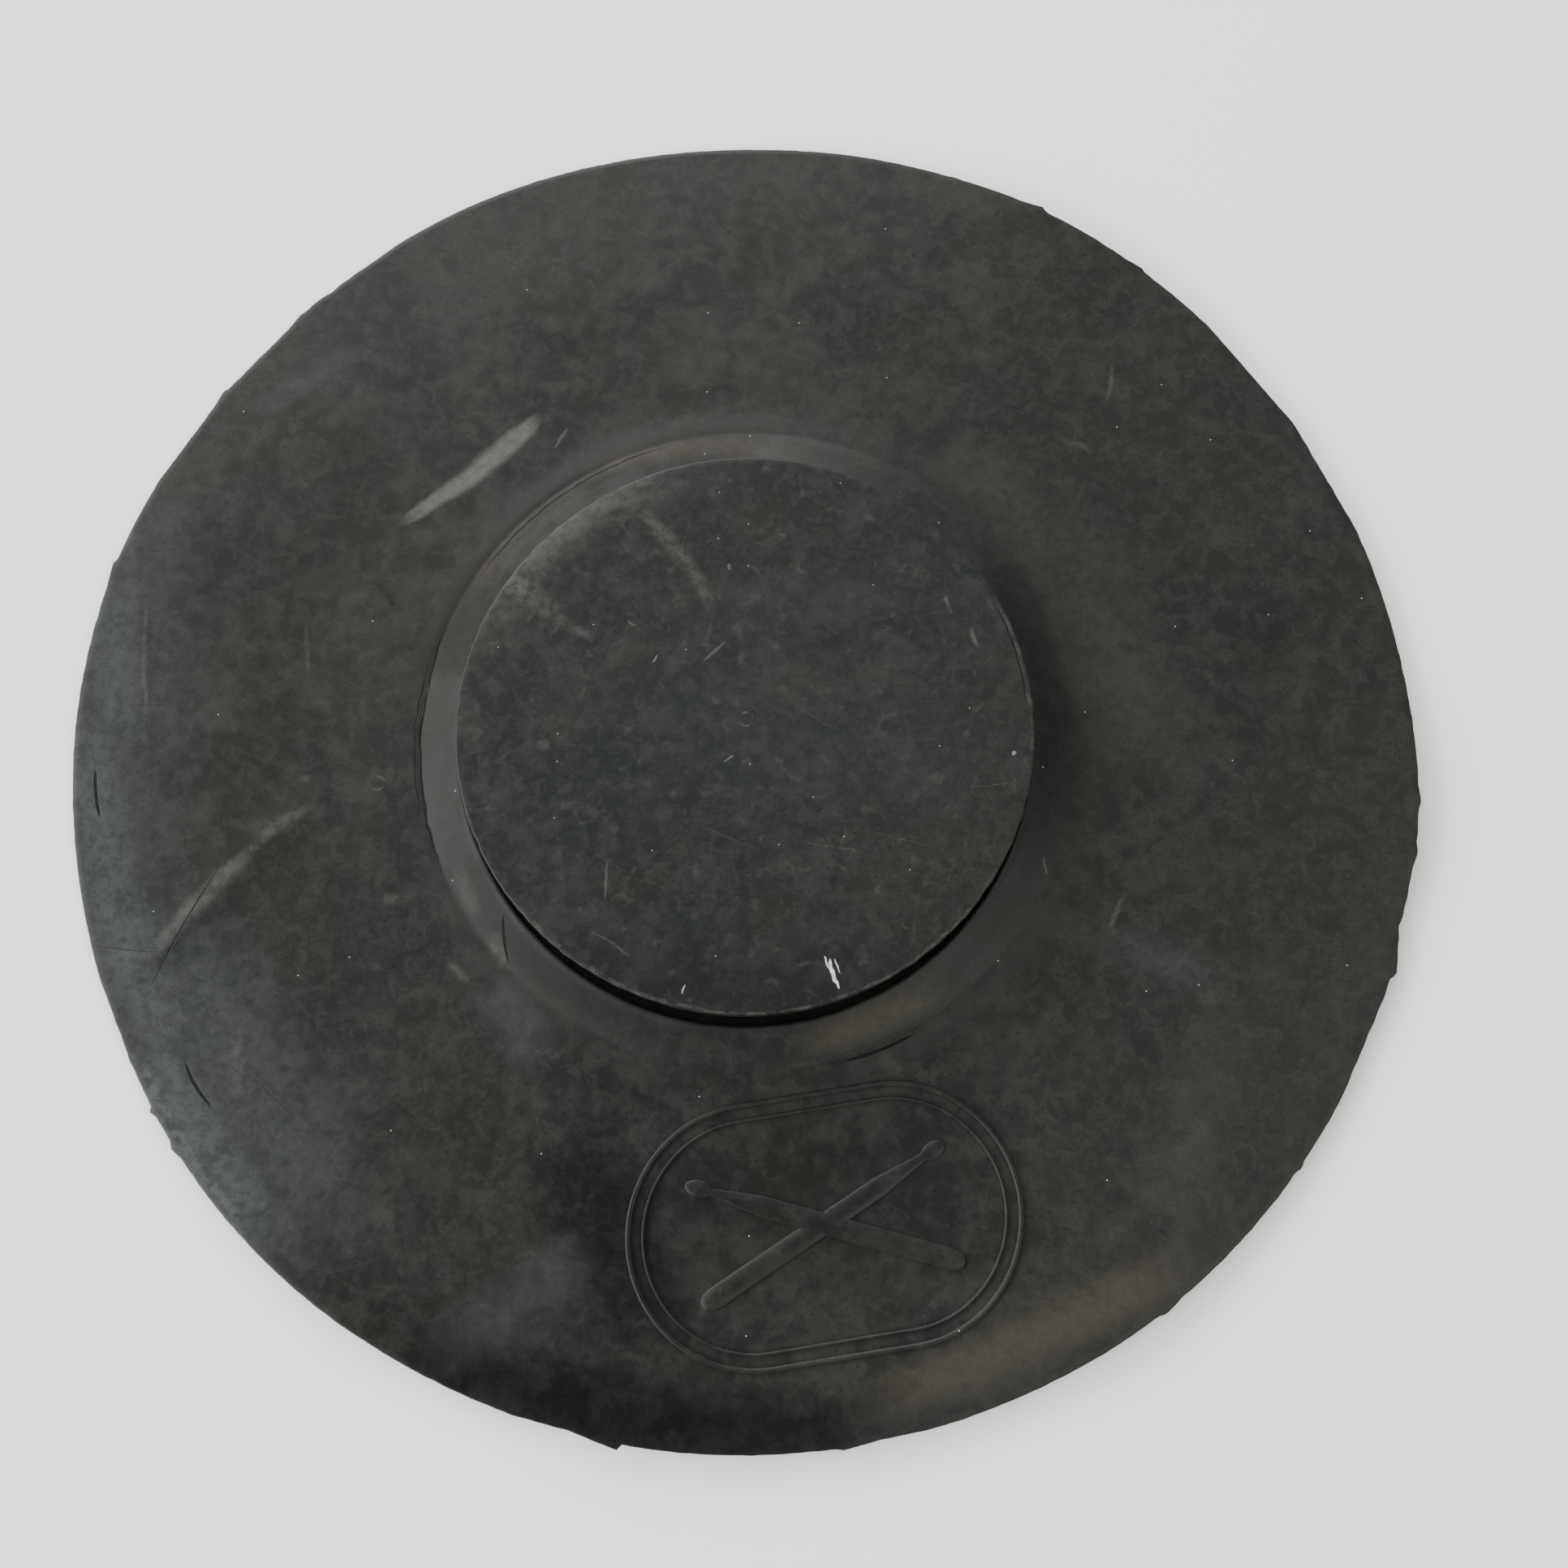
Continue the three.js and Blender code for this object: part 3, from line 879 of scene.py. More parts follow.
def surfaced(tree, shader, masks, base, rougher, height, depths):
    """Links the roughness and the bump. rougher says how much each named mask adds to the base."""
    roughness = base
    for name, change in rougher.items():
        roughness = calc(tree, "MULTIPLY_ADD", masks[name], change, roughness)
    tree.links.new(roughness, shader.inputs["Roughness"])
    relief = times(tree, height, depths["grain"])
    relief = calc(tree, "MULTIPLY_ADD", masks["crack"], -depths["crack"], relief)
    bump = add(tree, "Bump", {"Height": relief, "Strength": 1.0, "Distance": MM})
    tree.links.new(bump.outputs[0], shader.inputs["Normal"])
    shader.inputs["Specular IOR Level"].default_value = RUBBER_SPECULAR


# %% [markdown]
# ## Marks on the sheet
#
# These tables hold the sheet's marks: pale rubs with painted highlights along the folds and the lifted
# rim, painted cool sheen over the lifted left part with a few blue-grey patches, painted warm sheen on
# the lower right with brown wear on the skirt, broad painted sheen, painted shade towards the emblem's
# side with a painted shadow of the disc on the skirt's right, a few dark patches, cracks, and rings round
# the raised centre. All could be painted by hand on an image, but as rows of numbers each can be moved,
# softened or left out.

# %% Marks on the sheet
CENTRE = (0, 0)
SHEET_PALE_RUBS_AND_FOLD_HIGHLIGHTS = [  # start, end, half width, bend, soft, patchy, strength
    ((-83.5, 51.0), (-49.5, 80.0), 2.9, 1.0, 0.7, 0.25, 0.8),
    ((-75.5, 56.4), (-49.3, 80.6), 3.5, 0.7, 0.7, 0.25, 0.85),
    ((-46.5, 71.4), (-43.6, 76.6), 0.5, 0.0, 0.6, 0.2, 0.4),
    # The next two rows are painted highlights along the fold on the lower left, and the third is a
    # painted highlight along the small fold at the left rim.
    ((-133.2, -52.4), (-108.9, -24.6), 3.0, -1.0, 1.0, 0.45, 0.5),
    ((-114.9, -29.6), (-96.7, -15.0), 2.0, -1.0, 1.0, 0.8, 0.33),
    ((-138.9, 34.1), (-136.6, 0.5), 0.9, 0.4, 1.0, 0.5, 0.28),
    ((-102.9, 28.3), (-100.5, 12.8), 0.8, 0.3, 1.0, 0.7, 0.2),
    ((-102.8, -9.6), (-98.8, -10.2), 1.5, 0.0, 1.0, 0.6, 0.25),
    ((-81.5, -37.0), (-77.5, -37.6), 2.2, 0.0, 1.0, 0.4, 0.22),
    ((-112.0, -59.9), (-110.0, -82.2), 2.0, 0.0, 1.0, 0.5, 0.22),
    ((-56.5, -44.5), (-52.5, -53.5), 2.6, 0.0, 0.9, 0.6, 0.3),
    ((-66.5, -51.0), (-60.5, -56.0), 1.6, 0.0, 0.9, 0.7, 0.3),
    ((-65.0, -29.0), (-59.0, -42.5), 3.0, 0.0, 1.0, 0.4, 0.2),
    ((85.5, 82.0), (88.2, 95.1), 0.9, 0.4, 0.9, 0.7, 0.3),
    ((71.8, 75.2), (82.8, 70.2), 1.2, 0.0, 1.0, 0.7, 0.25),
    ((81.0, -43.9), (84.6, -36.0), 1.0, -0.6, 0.9, 0.6, 0.3),
    ((66.0, -28.0), (66.8, -32.0), 0.4, 0.0, 0.6, 0.3, 0.5),
]
SHEET_COOL_PATCHES_AND_SHEEN = [
    # The first two rows are blue-grey patches; the rest paint a bluish sheen, most of it over the lifted
    # left part of the sheet.
    ((-58.2, -54.6), (-42.7, -75.1), 9.5, 0.0, 1.0, 0.3, 0.4),
    ((-68.2, -134.8), (-30.3, -109.1), 11.0, 1.0, 1.0, 0.3, 0.38),
    ((-151.1, 42.8), (-138.7, -11.8), 14.0, 0.0, 1.0, 0.45, 0.75),
    ((-151.5, 12.4), (-138.1, -46.7), 15.0, 1.0, 1.0, 0.45, 0.9),
    ((-150.0, -16.0), (-120.0, -80.0), 16.0, 2.0, 1.0, 0.5, 0.85),
    ((-126.0, -38.8), (-102.9, -96.0), 15.0, 0.0, 1.0, 0.5, 0.5),
    ((-138.6, -60.2), (-94.2, -117.7), 17.0, 1.5, 1.0, 0.45, 1.0),
    ((-148.0, 66.0), (-148.0, -66.0), 36.0, 0.0, 1.0, 0.5, 0.5),
    ((-140.0, -34.0), (-84.0, -120.0), 28.0, 0.0, 1.0, 0.5, 0.5),
    ((-122.0, 78.0), (-92.0, 98.0), 5.0, 0.0, 1.0, 0.4, 0.3),
    ((76.0, -44.0), (108.0, -58.0), 9.0, 0.0, 1.0, 0.5, 0.3),
]
SHEET_WARM_SHEEN_AND_WEAR = [
    # The first row paints a warm sheen over the fold on the lower right; the rest are brown wear on the
    # skirt.
    ((18.9, -144.2), (100.4, -110.5), 9.5, 2.0, 1.0, 0.3, 0.9),
    ((8.5, -69.6), (45.3, -53.6), 5.6, 2.6, 1.0, 0.35, 1.0),
    ((28.5, -71.6), (34.5, -75.6), 2.2, 0.0, 1.0, 0.4, 0.6),
    ((-44.0, 62.0), (20.0, 66.0), 5.0, -6.5, 1.0, 0.35, 0.7),
    ((-66.0, 28.0), (-36.0, 62.0), 4.5, -4.0, 1.0, 0.6, 0.5),
]
SHEET_PAINTED_SHEEN = [
    # Painted sheen: broad pale patches laid over the sheet.
    ((84.9, -114.1), (108.5, -55.9), 15.0, 0.0, 1.0, 0.4, 0.4),
    ((44.0, 74.0), (73.5, 34.0), 16.0, -4.0, 1.0, 0.45, 0.6),
    ((68.0, 56.0), (90.4, -14.0), 19.0, -4.0, 1.0, 0.45, 0.55),
    ((5.0, 90.0), (60.0, 78.0), 13.0, -2.0, 1.0, 0.45, 0.3),
    ((-30.0, 96.0), (20.0, 100.0), 14.0, 0.0, 1.0, 0.45, 0.2),
    ((-95.0, 40.0), (-84.0, -30.0), 14.0, 0.0, 1.0, 0.5, 0.2),
]
SHEET_SHADE_AND_DARK_PATCHES = [
    # Painted shade: the first four rows darken the emblem's side, and the sixth is a painted shadow of
    # the disc across the skirt's right side. The others are dark patches and a thin dark line.
    ((-88.0, -124.0), (44.0, -150.0), 17.0, 8.0, 1.0, 0.1, 1.0),
    ((-42.0, -84.0), (-14.0, -134.0), 20.0, 0.0, 1.0, 0.2, 0.9),
    ((-30.0, -106.0), (62.0, -98.0), 34.0, 0.0, 1.0, 0.2, 0.4),
    ((-60.0, -118.0), (-20.0, -135.0), 14.0, 0.0, 1.0, 0.2, 0.35),
    ((-112.0, 20.0), (-70.0, 110.0), 16.0, 0.0, 1.0, 0.2, 0.3),
    ((53.8, 51.0), (54.1, -47.5), 12.0, -14.0, 1.0, 0.25, 0.9),
    ((107.5, -5.0), (130.1, 38.6), 12.0, 0.0, 1.0, 0.3, 0.35),
    ((-117.5, -31.0), (-132.4, -58.5), 1.5, 0.5, 1.0, 0.1, 0.7),
]
SHEET_CRACKS = [
    ((-146.9, -7.5), (-144.8, -19.9), 0.5, 0.4, 0.6, 0.1, 1.0),
    ((-121.9, -72.3), (-114.3, -83.0), 0.5, 0.8, 0.6, 0.1, 1.0),
    ((-117.3, -29.6), (-130.9, -57.5), 0.25, 0.6, 0.6, 0.2, 0.8),
    ((-144.3, -47.6), (-126.6, -49.3), 0.2, 0.3, 0.6, 0.3, 0.5),
    ((-53.5, -40.6), (-52.0, -52.4), 0.4, 0.5, 0.6, 0.2, 0.8),
    ((-104.5, -78.0), (-96.0, -84.5), 0.25, 0.4, 0.6, 0.3, 0.5),
    ((20.0, -72.9), (37.6, -66.2), 0.4, 0.8, 0.6, 0.1, 1.0),
]
SHEET_RINGS_DARK = [  # radius, half width, from degrees, to degrees, strength, place
    (73.4, 0.26, 104, 150, 0.55, CENTRE),
    (74.6, 0.3, 158, 206, 0.75, CENTRE),
    (75.9, 0.2, 164, 196, 0.5, CENTRE),
]
SHEET_RINGS_MATT = [
    (68.5, 13.0, 80, 176, 0.75, CENTRE),
    (68.5, 13.0, 130, 270, 0.42, CENTRE),
    (68.5, 13.0, 140, 172, 1.0, CENTRE),
]
SHEET_RINGS_PALE_AND_RIM_HIGHLIGHT = [
    # The first row is a painted highlight along the lifted rim on the lower left; the second is a small
    # pale ring.
    (150.2, 1.3, 208, 226, 0.6, CENTRE),
    (1.7, 0.35, -180, 180, 0.5, (-83.9, -10.6)),
]

sheet_tables = (SHEET_PALE_RUBS_AND_FOLD_HIGHLIGHTS, SHEET_COOL_PATCHES_AND_SHEEN, SHEET_WARM_SHEEN_AND_WEAR, SHEET_PAINTED_SHEEN, SHEET_SHADE_AND_DARK_PATCHES, SHEET_CRACKS)
print("marks on the sheet", sum(len(table) for table in sheet_tables))

# %% [markdown]
# ## Rubber of the sheet
#
# The base drifts between blue-black and brown. Over it come the bloom and the smudges, then the
# marks, then the fine scratches, the worn edges and the dust. Marks only show on faces that look up,
# or they would run down the rim's wall as streaks.

# %% Rubber of the sheet
SHEET_BASE = ((0.0078, 0.0089, 0.0094), (0.0114, 0.0108, 0.0089))
SHEET_LOOK = {  # tone, strength
    "dried": ((0.0096, 0.0090, 0.0070), 0.5),
    "bloom": ((0.0205, 0.0202, 0.0175), 0.6),
    "fine bloom": ((0.027, 0.0268, 0.0240), 0.55),
    "smudge": ((0.0035, 0.0040, 0.0046), 0.65),
    "matt": ((0.0110, 0.0100, 0.0086), 1.0),
    # The next five tones paint shade with a few dark patches, broad sheen, warm sheen with brown wear,
    # cool sheen with blue-grey patches, and pale rubs with highlights along the folds.
    "shade and dark": ((0.0030, 0.0030, 0.0032), 1.0),
    "painted sheen": ((0.0345, 0.0325, 0.0280), 1.0),
    "warm": ((0.040, 0.0365, 0.026), 1.0),
    "cool sheen and patches": ((0.046, 0.0505, 0.0525), 1.0),
    "pale": ((0.095, 0.097, 0.086), 1.0),
    "pale ring": ((0.070, 0.074, 0.074), 1.0),
    "crack": ((0.0008, 0.0008, 0.0008), 1.0),
    "scratch": ((0.06, 0.06, 0.055), 0.22),
    "edge": ((0.045, 0.043, 0.038), 0.22),
    "speck": ((0.0052, 0.0050, 0.0046), 0.25),
    "dust": ((0.45, 0.45, 0.42), 1.0),
}
SHEET_ROUGHNESS = 0.42
SHEET_ROUGHER = {"bloom": 0.10, "fine bloom": 0.07, "smudge": -0.05, "speck": 0.04, "shade and dark": -0.14,
                 "matt": 0.28, "crack": 0.3}
SHEET_HAIRS = [(0.6, 40, 0.5), (1.9, 26, 0.45), (2.7, 60, 0.4)]  # turn, length, amount
SHEET_DEPTHS = dict(grain=0.022, crack=0.30)  # in millimetres

sheet_rubber, tree, shader = new_material("moulded_sheet_rubber")
place, normal, pushed, patches, sway = shared_noise(tree)
drift = use(tree, blotches, Vector=place, Size=46 * MM)
fine = use(tree, blotches, Vector=place, Size=13 * MM)
texture = use(tree, grain, Vector=place)
edges = use(tree, worn_edge, Normal=normal, Patches=patches)
upper = edges["Faces up"]
pale_rings = times(tree, rings(tree, place, sway, SHEET_RINGS_PALE_AND_RIM_HIGHLIGHT), patches)
cracks = largest(tree, [
    rubs(tree, place, patches, SHEET_CRACKS),
    rings(tree, place, sway, SHEET_RINGS_DARK),
])
specks = use(tree, dust, Vector=place, Spacing=11 * MM, Size=0.16 * MM, Share=0.08)["Mask"]
masks = {
    "dried": fine["Warmth"],
    "bloom": drift["Bloom"],
    "fine bloom": fine["Bloom"],
    "smudge": fine["Smudges"],
    "matt": times(tree, rings(tree, pushed, sway, SHEET_RINGS_MATT), upper),
    # The next four masks carry painted shade with the disc's painted shadow, broad painted sheen, painted
    # warm sheen with brown wear, and painted cool sheen with blue-grey patches; the one after holds pale
    # rubs and painted highlights along the folds.
    "shade and dark": times(tree, rubs(tree, pushed, patches, SHEET_SHADE_AND_DARK_PATCHES), upper),
    "painted sheen": times(tree, rubs(tree, pushed, patches, SHEET_PAINTED_SHEEN), upper),
    "warm": times(tree, rubs(tree, pushed, patches, SHEET_WARM_SHEEN_AND_WEAR), upper),
    "cool sheen and patches": times(tree, rubs(tree, pushed, patches, SHEET_COOL_PATCHES_AND_SHEEN), upper),
    "pale": times(tree, rubs(tree, pushed, patches, SHEET_PALE_RUBS_AND_FOLD_HIGHLIGHTS), upper),
    "pale ring": times(tree, pale_rings, upper),
    "crack": times(tree, cracks, upper),
    "scratch": hairs(tree, place, SHEET_HAIRS),
    "edge": edges["Mask"],
    "speck": texture["Speck"],
    "dust": times(tree, specks, upper),
}
colour = painted(tree, mix(tree, drift["Warmth"], *SHEET_BASE), SHEET_LOOK, masks)
tree.links.new(colour, shader.inputs["Base Color"])
surfaced(tree, shader, masks, SHEET_ROUGHNESS, SHEET_ROUGHER, texture["Height"], SHEET_DEPTHS)
for piece in (sheet, emblem):
    piece.data.materials.append(sheet_rubber)
print(sheet_rubber.name, len(tree.nodes), "nodes")

# %% [markdown]
# ## Marks on the disc
#
# Sticks and hands have left chalky smears near the disc's worn side, a chip of white paint, a pale
# rubbed rim and short scratches. The same kind of tables hold them, with a painted sheen over the middle
# of the disc and painted shade on its side towards the emblem.

# %% Marks on the disc
DISC_PALE = [  # start, end, half width, bend, soft, patchy, strength
    ((-56.0, 34.0), (-41.6, 24.3), 4.0, -0.6, 1.0, 0.7, 0.27),
    ((-44.6, 26.6), (-34.0, 19.0), 2.4, 0.0, 1.0, 0.8, 0.22),
    ((-53.0, 31.0), (-24.0, 56.0), 4.0, -3.6, 1.0, 0.6, 0.08),
    ((-29.5, 54.0), (-7.0, 24.0), 2.8, -2.8, 1.0, 0.75, 0.27),
    ((-9.9, 14.0), (-4.7, 19.4), 0.45, 0.0, 0.7, 0.3, 0.4),
    ((-21.3, 14.3), (-20.0, 16.1), 0.3, 0.2, 0.5, 0.2, 0.8),
    ((-4.3, 37.6), (-3.9, 35.8), 0.5, 0.0, 0.7, 0.3, 0.6),
    ((-5.4, -8.5), (-2.7, -7.2), 0.25, 0.0, 0.5, 0.3, 0.8),
    ((-27.0, 24.2), (-24.7, 23.0), 0.25, 0.2, 0.5, 0.3, 0.5),
    ((-46.5, -4.8), (-43.0, -5.2), 2.0, 0.0, 1.0, 0.5, 0.22),
    ((-30.4, -29.6), (-30.3, -39.6), 0.4, 0.0, 0.7, 0.4, 0.4),
    ((43.8, -28.8), (22.4, -23.0), 0.2, 0.5, 0.8, 0.6, 0.2),
    ((11.2, -25.8), (25.2, -28.7), 0.25, 0.0, 0.8, 0.6, 0.2),
    ((49.0, -14.2), (58.5, -13.4), 0.2, 0.0, 0.8, 0.5, 0.25),
    ((44.4, 30.2), (45.8, 25.4), 0.7, 0.2, 0.8, 0.5, 0.3),
    ((49.9, 23.0), (51.4, 17.6), 0.8, 0.2, 0.8, 0.5, 0.35),
    ((-34.0, -45.5), (-24.0, -52.0), 0.4, -0.6, 0.8, 0.6, 0.3),
    ((-12.0, -22.0), (2.0, -27.5), 0.25, 0.3, 0.8, 0.6, 0.15),
    ((8.0, 6.0), (22.0, -2.0), 0.2, 0.4, 0.8, 0.6, 0.15),
]
DISC_WHITE = [
    ((17.7, -51.6), (19.5, -57.0), 0.55, 0.2, 0.5, 0.5, 0.95),
    ((16.5, -51.0), (17.8, -53.8), 0.24, 0.1, 0.5, 0.4, 0.8),
    ((18.9, -55.2), (20.0, -57.9), 0.3, 0.1, 0.5, 0.4, 0.8),
    ((18.9, -51.6), (20.1, -54.6), 0.2, 0.0, 0.5, 0.4, 0.7),
    ((58.2, -6.8), (59.3, -5.9), 0.6, 0.0, 0.7, 0.4, 0.3),
    ((-13.4, -58.9), (-13.0, -56.9), 0.22, 0.0, 0.4, 0.2, 0.5),
]
DISC_SHEEN_AND_COOL_PATCH = [
    # Painted sheen over the middle of the disc, and a cool patch near its edge.
    ((-34.0, 4.0), (62.0, -12.0), 26.0, 0.0, 1.0, 0.6, 0.45),
    ((-20.0, 22.0), (42.0, 34.0), 12.0, 0.0, 1.0, 0.3, 0.35),
    ((-46.0, -36.0), (-18.0, -50.0), 6.0, 0.0, 1.0, 0.5, 0.25),
]
DISC_WARM = [
    ((-59.0, 20.0), (-20.0, 59.0), 7.5, -5.5, 1.0, 0.6, 0.6),
    ((-50.0, -8.0), (-20.0, 24.0), 9.0, 0.0, 1.0, 0.5, 0.25),
    ((20.0, -40.0), (50.0, -20.0), 7.0, 0.0, 1.0, 0.5, 0.2),
    ((0.0, 8.0), (40.0, 14.0), 10.0, 0.0, 1.0, 0.5, 0.3),
]
DISC_SHADE = [
    # Painted shade, darker towards the emblem's side of the disc.
    ((-44.0, -52.0), (44.0, -52.0), 17.0, 6.0, 1.0, 0.2, 0.6),
]
DISC_RINGS_PALE = [  # radius, half width, from degrees, to degrees, strength, place
    (63.0, 0.5, 205, 340, 0.25, CENTRE),
    (63.0, 0.7, -10, 30, 0.2, CENTRE),
    (62.5, 8.5, 98, 166, 0.08, CENTRE),
    (1.5, 0.35, -180, 180, 0.35, (-0.2, 1.1)),
]
DISC_RINGS_DARK = [
    (62.3, 0.25, 3, 27, 0.9, CENTRE),
]

disc_tables = (DISC_PALE, DISC_WHITE, DISC_SHEEN_AND_COOL_PATCH, DISC_WARM, DISC_SHADE)
print("marks on the disc", sum(len(table) for table in disc_tables))

# %% [markdown]
# ## Rubber of the disc
#
# The disc is denser, smoother and cooler in tone than the sheet. It has more of the fine scratches,
# in every direction, and small pale flecks that sticks have beaten into it. The flecks are noise cut
# off high, because dots from a pattern of cells would look as if they had been set out in rows.

# %% Rubber of the disc
DISC_BASE = ((0.0072, 0.0088, 0.0104), (0.0100, 0.0098, 0.0086))
DISC_LOOK = {  # tone, strength
    "bloom": ((0.022, 0.0215, 0.0200), 0.6),
    "fine bloom": ((0.027, 0.0268, 0.0245), 0.5),
    "smudge": ((0.0035, 0.0042, 0.0050), 0.65),
    # The next two tones paint shade on the disc's side towards the emblem and a sheen over its middle
    # with one cool patch.
    "shade and dark": ((0.0040, 0.0044, 0.0050), 1.0),
    "cool sheen and patches": ((0.0215, 0.0232, 0.0238), 1.0),
    "warm": ((0.032, 0.0275, 0.021), 1.0),
    "pale": ((0.115, 0.112, 0.100), 1.0),
    "white": ((0.75, 0.78, 0.78), 1.0),
    "pale ring": ((0.13, 0.125, 0.11), 1.0),
    "crack": ((0.001, 0.001, 0.001), 1.0),
    "scratch": ((0.075, 0.075, 0.068), 0.17),
    "fleck": ((0.078, 0.077, 0.070), 0.17),
    "edge": ((0.060, 0.056, 0.048), 0.22),
    "speck": ((0.0050, 0.0050, 0.0050), 0.25),
    "dust": ((0.40, 0.40, 0.37), 1.0),
}
DISC_ROUGHNESS = 0.43
DISC_ROUGHER = {"bloom": 0.08, "fine bloom": 0.06, "smudge": -0.05, "speck": 0.04}
DISC_HAIRS = [(0.35, 46, 0.6), (1.25, 24, 0.55), (2.15, 60, 0.6), (2.9, 34, 0.5)]
DISC_DEPTHS = dict(grain=0.018, crack=0.25)  # in millimetres
FLECK_SIZE = 3.4 * MM

disc_rubber, tree, shader = new_material("striking_disc_rubber")
place, normal, pushed, patches, sway = shared_noise(tree)
drift = use(tree, blotches, Vector=place, Size=34 * MM)
fine = use(tree, blotches, Vector=place, Size=10 * MM)
texture = use(tree, grain, Vector=place)
edges = use(tree, worn_edge, Normal=normal, Patches=patches)
upper = edges["Faces up"]
pale_rings = times(tree, rings(tree, place, sway, DISC_RINGS_PALE), patches)
flecks = remap(tree, fractal(tree, place, FLECK_SIZE, 2.0, 0.5, 0.5).outputs["Fac"], 0.6, 0.74)
specks = use(tree, dust, Vector=place, Spacing=7 * MM, Size=0.14 * MM, Share=0.1)["Mask"]
masks = {
    "bloom": drift["Bloom"],
    "fine bloom": fine["Bloom"],
    "smudge": fine["Smudges"],
    # The next two masks carry painted shade on the disc's side towards the emblem and painted sheen over
    # its middle.
    "shade and dark": times(tree, rubs(tree, pushed, patches, DISC_SHADE), upper),
    "cool sheen and patches": times(tree, rubs(tree, pushed, patches, DISC_SHEEN_AND_COOL_PATCH), upper),
    "warm": times(tree, rubs(tree, pushed, patches, DISC_WARM), upper),
    "pale": times(tree, rubs(tree, pushed, patches, DISC_PALE), upper),
    "white": times(tree, rubs(tree, pushed, patches, DISC_WHITE), upper),
    "pale ring": times(tree, pale_rings, upper),
    "crack": times(tree, rings(tree, place, sway, DISC_RINGS_DARK), upper),
    "scratch": hairs(tree, place, DISC_HAIRS),
    "fleck": times(tree, flecks, upper),
    "edge": edges["Mask"],
    "speck": texture["Speck"],
    "dust": times(tree, specks, upper),
}
colour = painted(tree, mix(tree, drift["Warmth"], *DISC_BASE), DISC_LOOK, masks)
tree.links.new(colour, shader.inputs["Base Color"])
surfaced(tree, shader, masks, DISC_ROUGHNESS, DISC_ROUGHER, texture["Height"], DISC_DEPTHS)
disc.data.materials.append(disc_rubber)
print(disc_rubber.name, len(tree.nodes), "nodes")

# %% [markdown]
# ## Sponge of the core
#
# The core is open-celled: a Voronoi pattern gives round cells about a millimetre across, dark inside
# and paler on their walls, and the same pattern is the height. Modelled holes would need millions of
# faces for something that is hardly ever seen.

# %% Sponge
CELL_SIZE = 1.1 * MM
CELL_DEPTH = 0.35  # in millimetres
SPONGE_HOLE = (0.0035, 0.0034, 0.0032)
SPONGE_WALL = (0.020, 0.0190, 0.0175)
SPONGE_BLOOM = (0.030, 0.028, 0.025)
sponge, tree, shader = new_material("core_sponge_rubber")
place = add(tree, "TexCoord").outputs["Object"]
cell = add(tree, "TexVoronoi", {"Vector": place, "Scale": 1 / CELL_SIZE, "Randomness": 0.9})
wall = remap(tree, cell.outputs["Distance"], 0.25, 0.6)
drift = use(tree, blotches, Vector=place, Size=30 * MM)
colour = mix(tree, wall, SPONGE_HOLE, SPONGE_WALL)
colour = mix(tree, times(tree, drift["Bloom"], 0.35), colour, SPONGE_BLOOM)
tree.links.new(colour, shader.inputs["Base Color"])
tree.links.new(calc(tree, "MULTIPLY_ADD", drift["Bloom"], 0.12, 0.8), shader.inputs["Roughness"])
bump = add(tree, "Bump", {"Height": times(tree, wall, CELL_DEPTH), "Strength": 1.0, "Distance": MM})
tree.links.new(bump.outputs[0], shader.inputs["Normal"])
core.data.materials.append(sponge)
print(sponge.name, len(tree.nodes), "nodes")

# %% [markdown]
# ## The floor
#
# The pad lies on a plain pale floor, so that its dark rim reads clearly. One large face is enough. It
# lies a hair below the pad, so that the two faces don't flicker through each other.

# %% Floor
FLOOR_HALF = 3.0
FLOOR_DROP = 0.05 * MM
FLOOR_TONE = (0.90, 0.90, 0.895, 1)
FLOOR_ROUGHNESS = 0.8
floor_bm = bmesh.new()
bmesh.ops.create_grid(floor_bm, x_segments=1, y_segments=1, size=FLOOR_HALF)
floor_mesh = bpy.data.meshes.new("floor")
floor_bm.to_mesh(floor_mesh)
floor_bm.free()
floor = bpy.data.objects.new("floor", floor_mesh)
floor.location.z = cad_low.z - FLOOR_DROP
bpy.context.scene.collection.objects.link(floor)
floor_paint, tree, shader = new_material("pale_floor")
shader.inputs["Base Color"].default_value = FLOOR_TONE
shader.inputs["Roughness"].default_value = FLOOR_ROUGHNESS
floor_mesh.materials.append(floor_paint)
print("the floor is", 2 * FLOOR_HALF, "metres across")

# %% [markdown]
# ## Light
#
# Black rubber shows its shape by its sheen more than by its shade. One big lamp low on the left and
# one at the upper left rake across the sheet, as a window and an open door do, and a weak lamp on
# the other side keeps the far rim from going black. A ring of even lamps would show less: every
# slope would be as bright as the next.

# %% Lamps
LAMPS = [  # name, direction and height in degrees, distance, size, power, colour
    ("window", 118, 22, 1.8, (2.2, 0.8), 55, (0.99, 1.0, 1.0)),
    ("door", 196, 22, 1.8, (2.2, 0.8), 58, (0.99, 1.0, 1.0)),
    ("fill", -40, 48, 1.9, (1.4, 0.9), 17, (1.0, 0.98, 0.94)),
]


def lamp(name, azimuth, elevation, distance, size, power, colour):
    data = bpy.data.lights.new(name, "AREA")
    data.shape = "RECTANGLE"
    data.size, data.size_y = size
    data.energy = power
    data.color = colour
    item = bpy.data.objects.new(name, data)
    turn = math.radians(azimuth)
    rise = math.radians(elevation)
    towards = Vector((math.cos(turn) * math.cos(rise), math.sin(turn) * math.cos(rise), math.sin(rise)))
    item.location = towards * distance
    item.rotation_euler = (-item.location).to_track_quat("-Z", "Y").to_euler()
    bpy.context.scene.collection.objects.link(item)


for row in LAMPS:
    lamp(*row)
print("lamps", [row[0] for row in LAMPS])

# %% [markdown]
# ## The room's own light
#
# The rest of the room is lit by the world. It is brighter on one side, where the walls are pale, and
# dark straight overhead, so that the striking face mirrors a dark ceiling and stays black. A picture
# of a room could do the same, but two named directions are easier to turn.

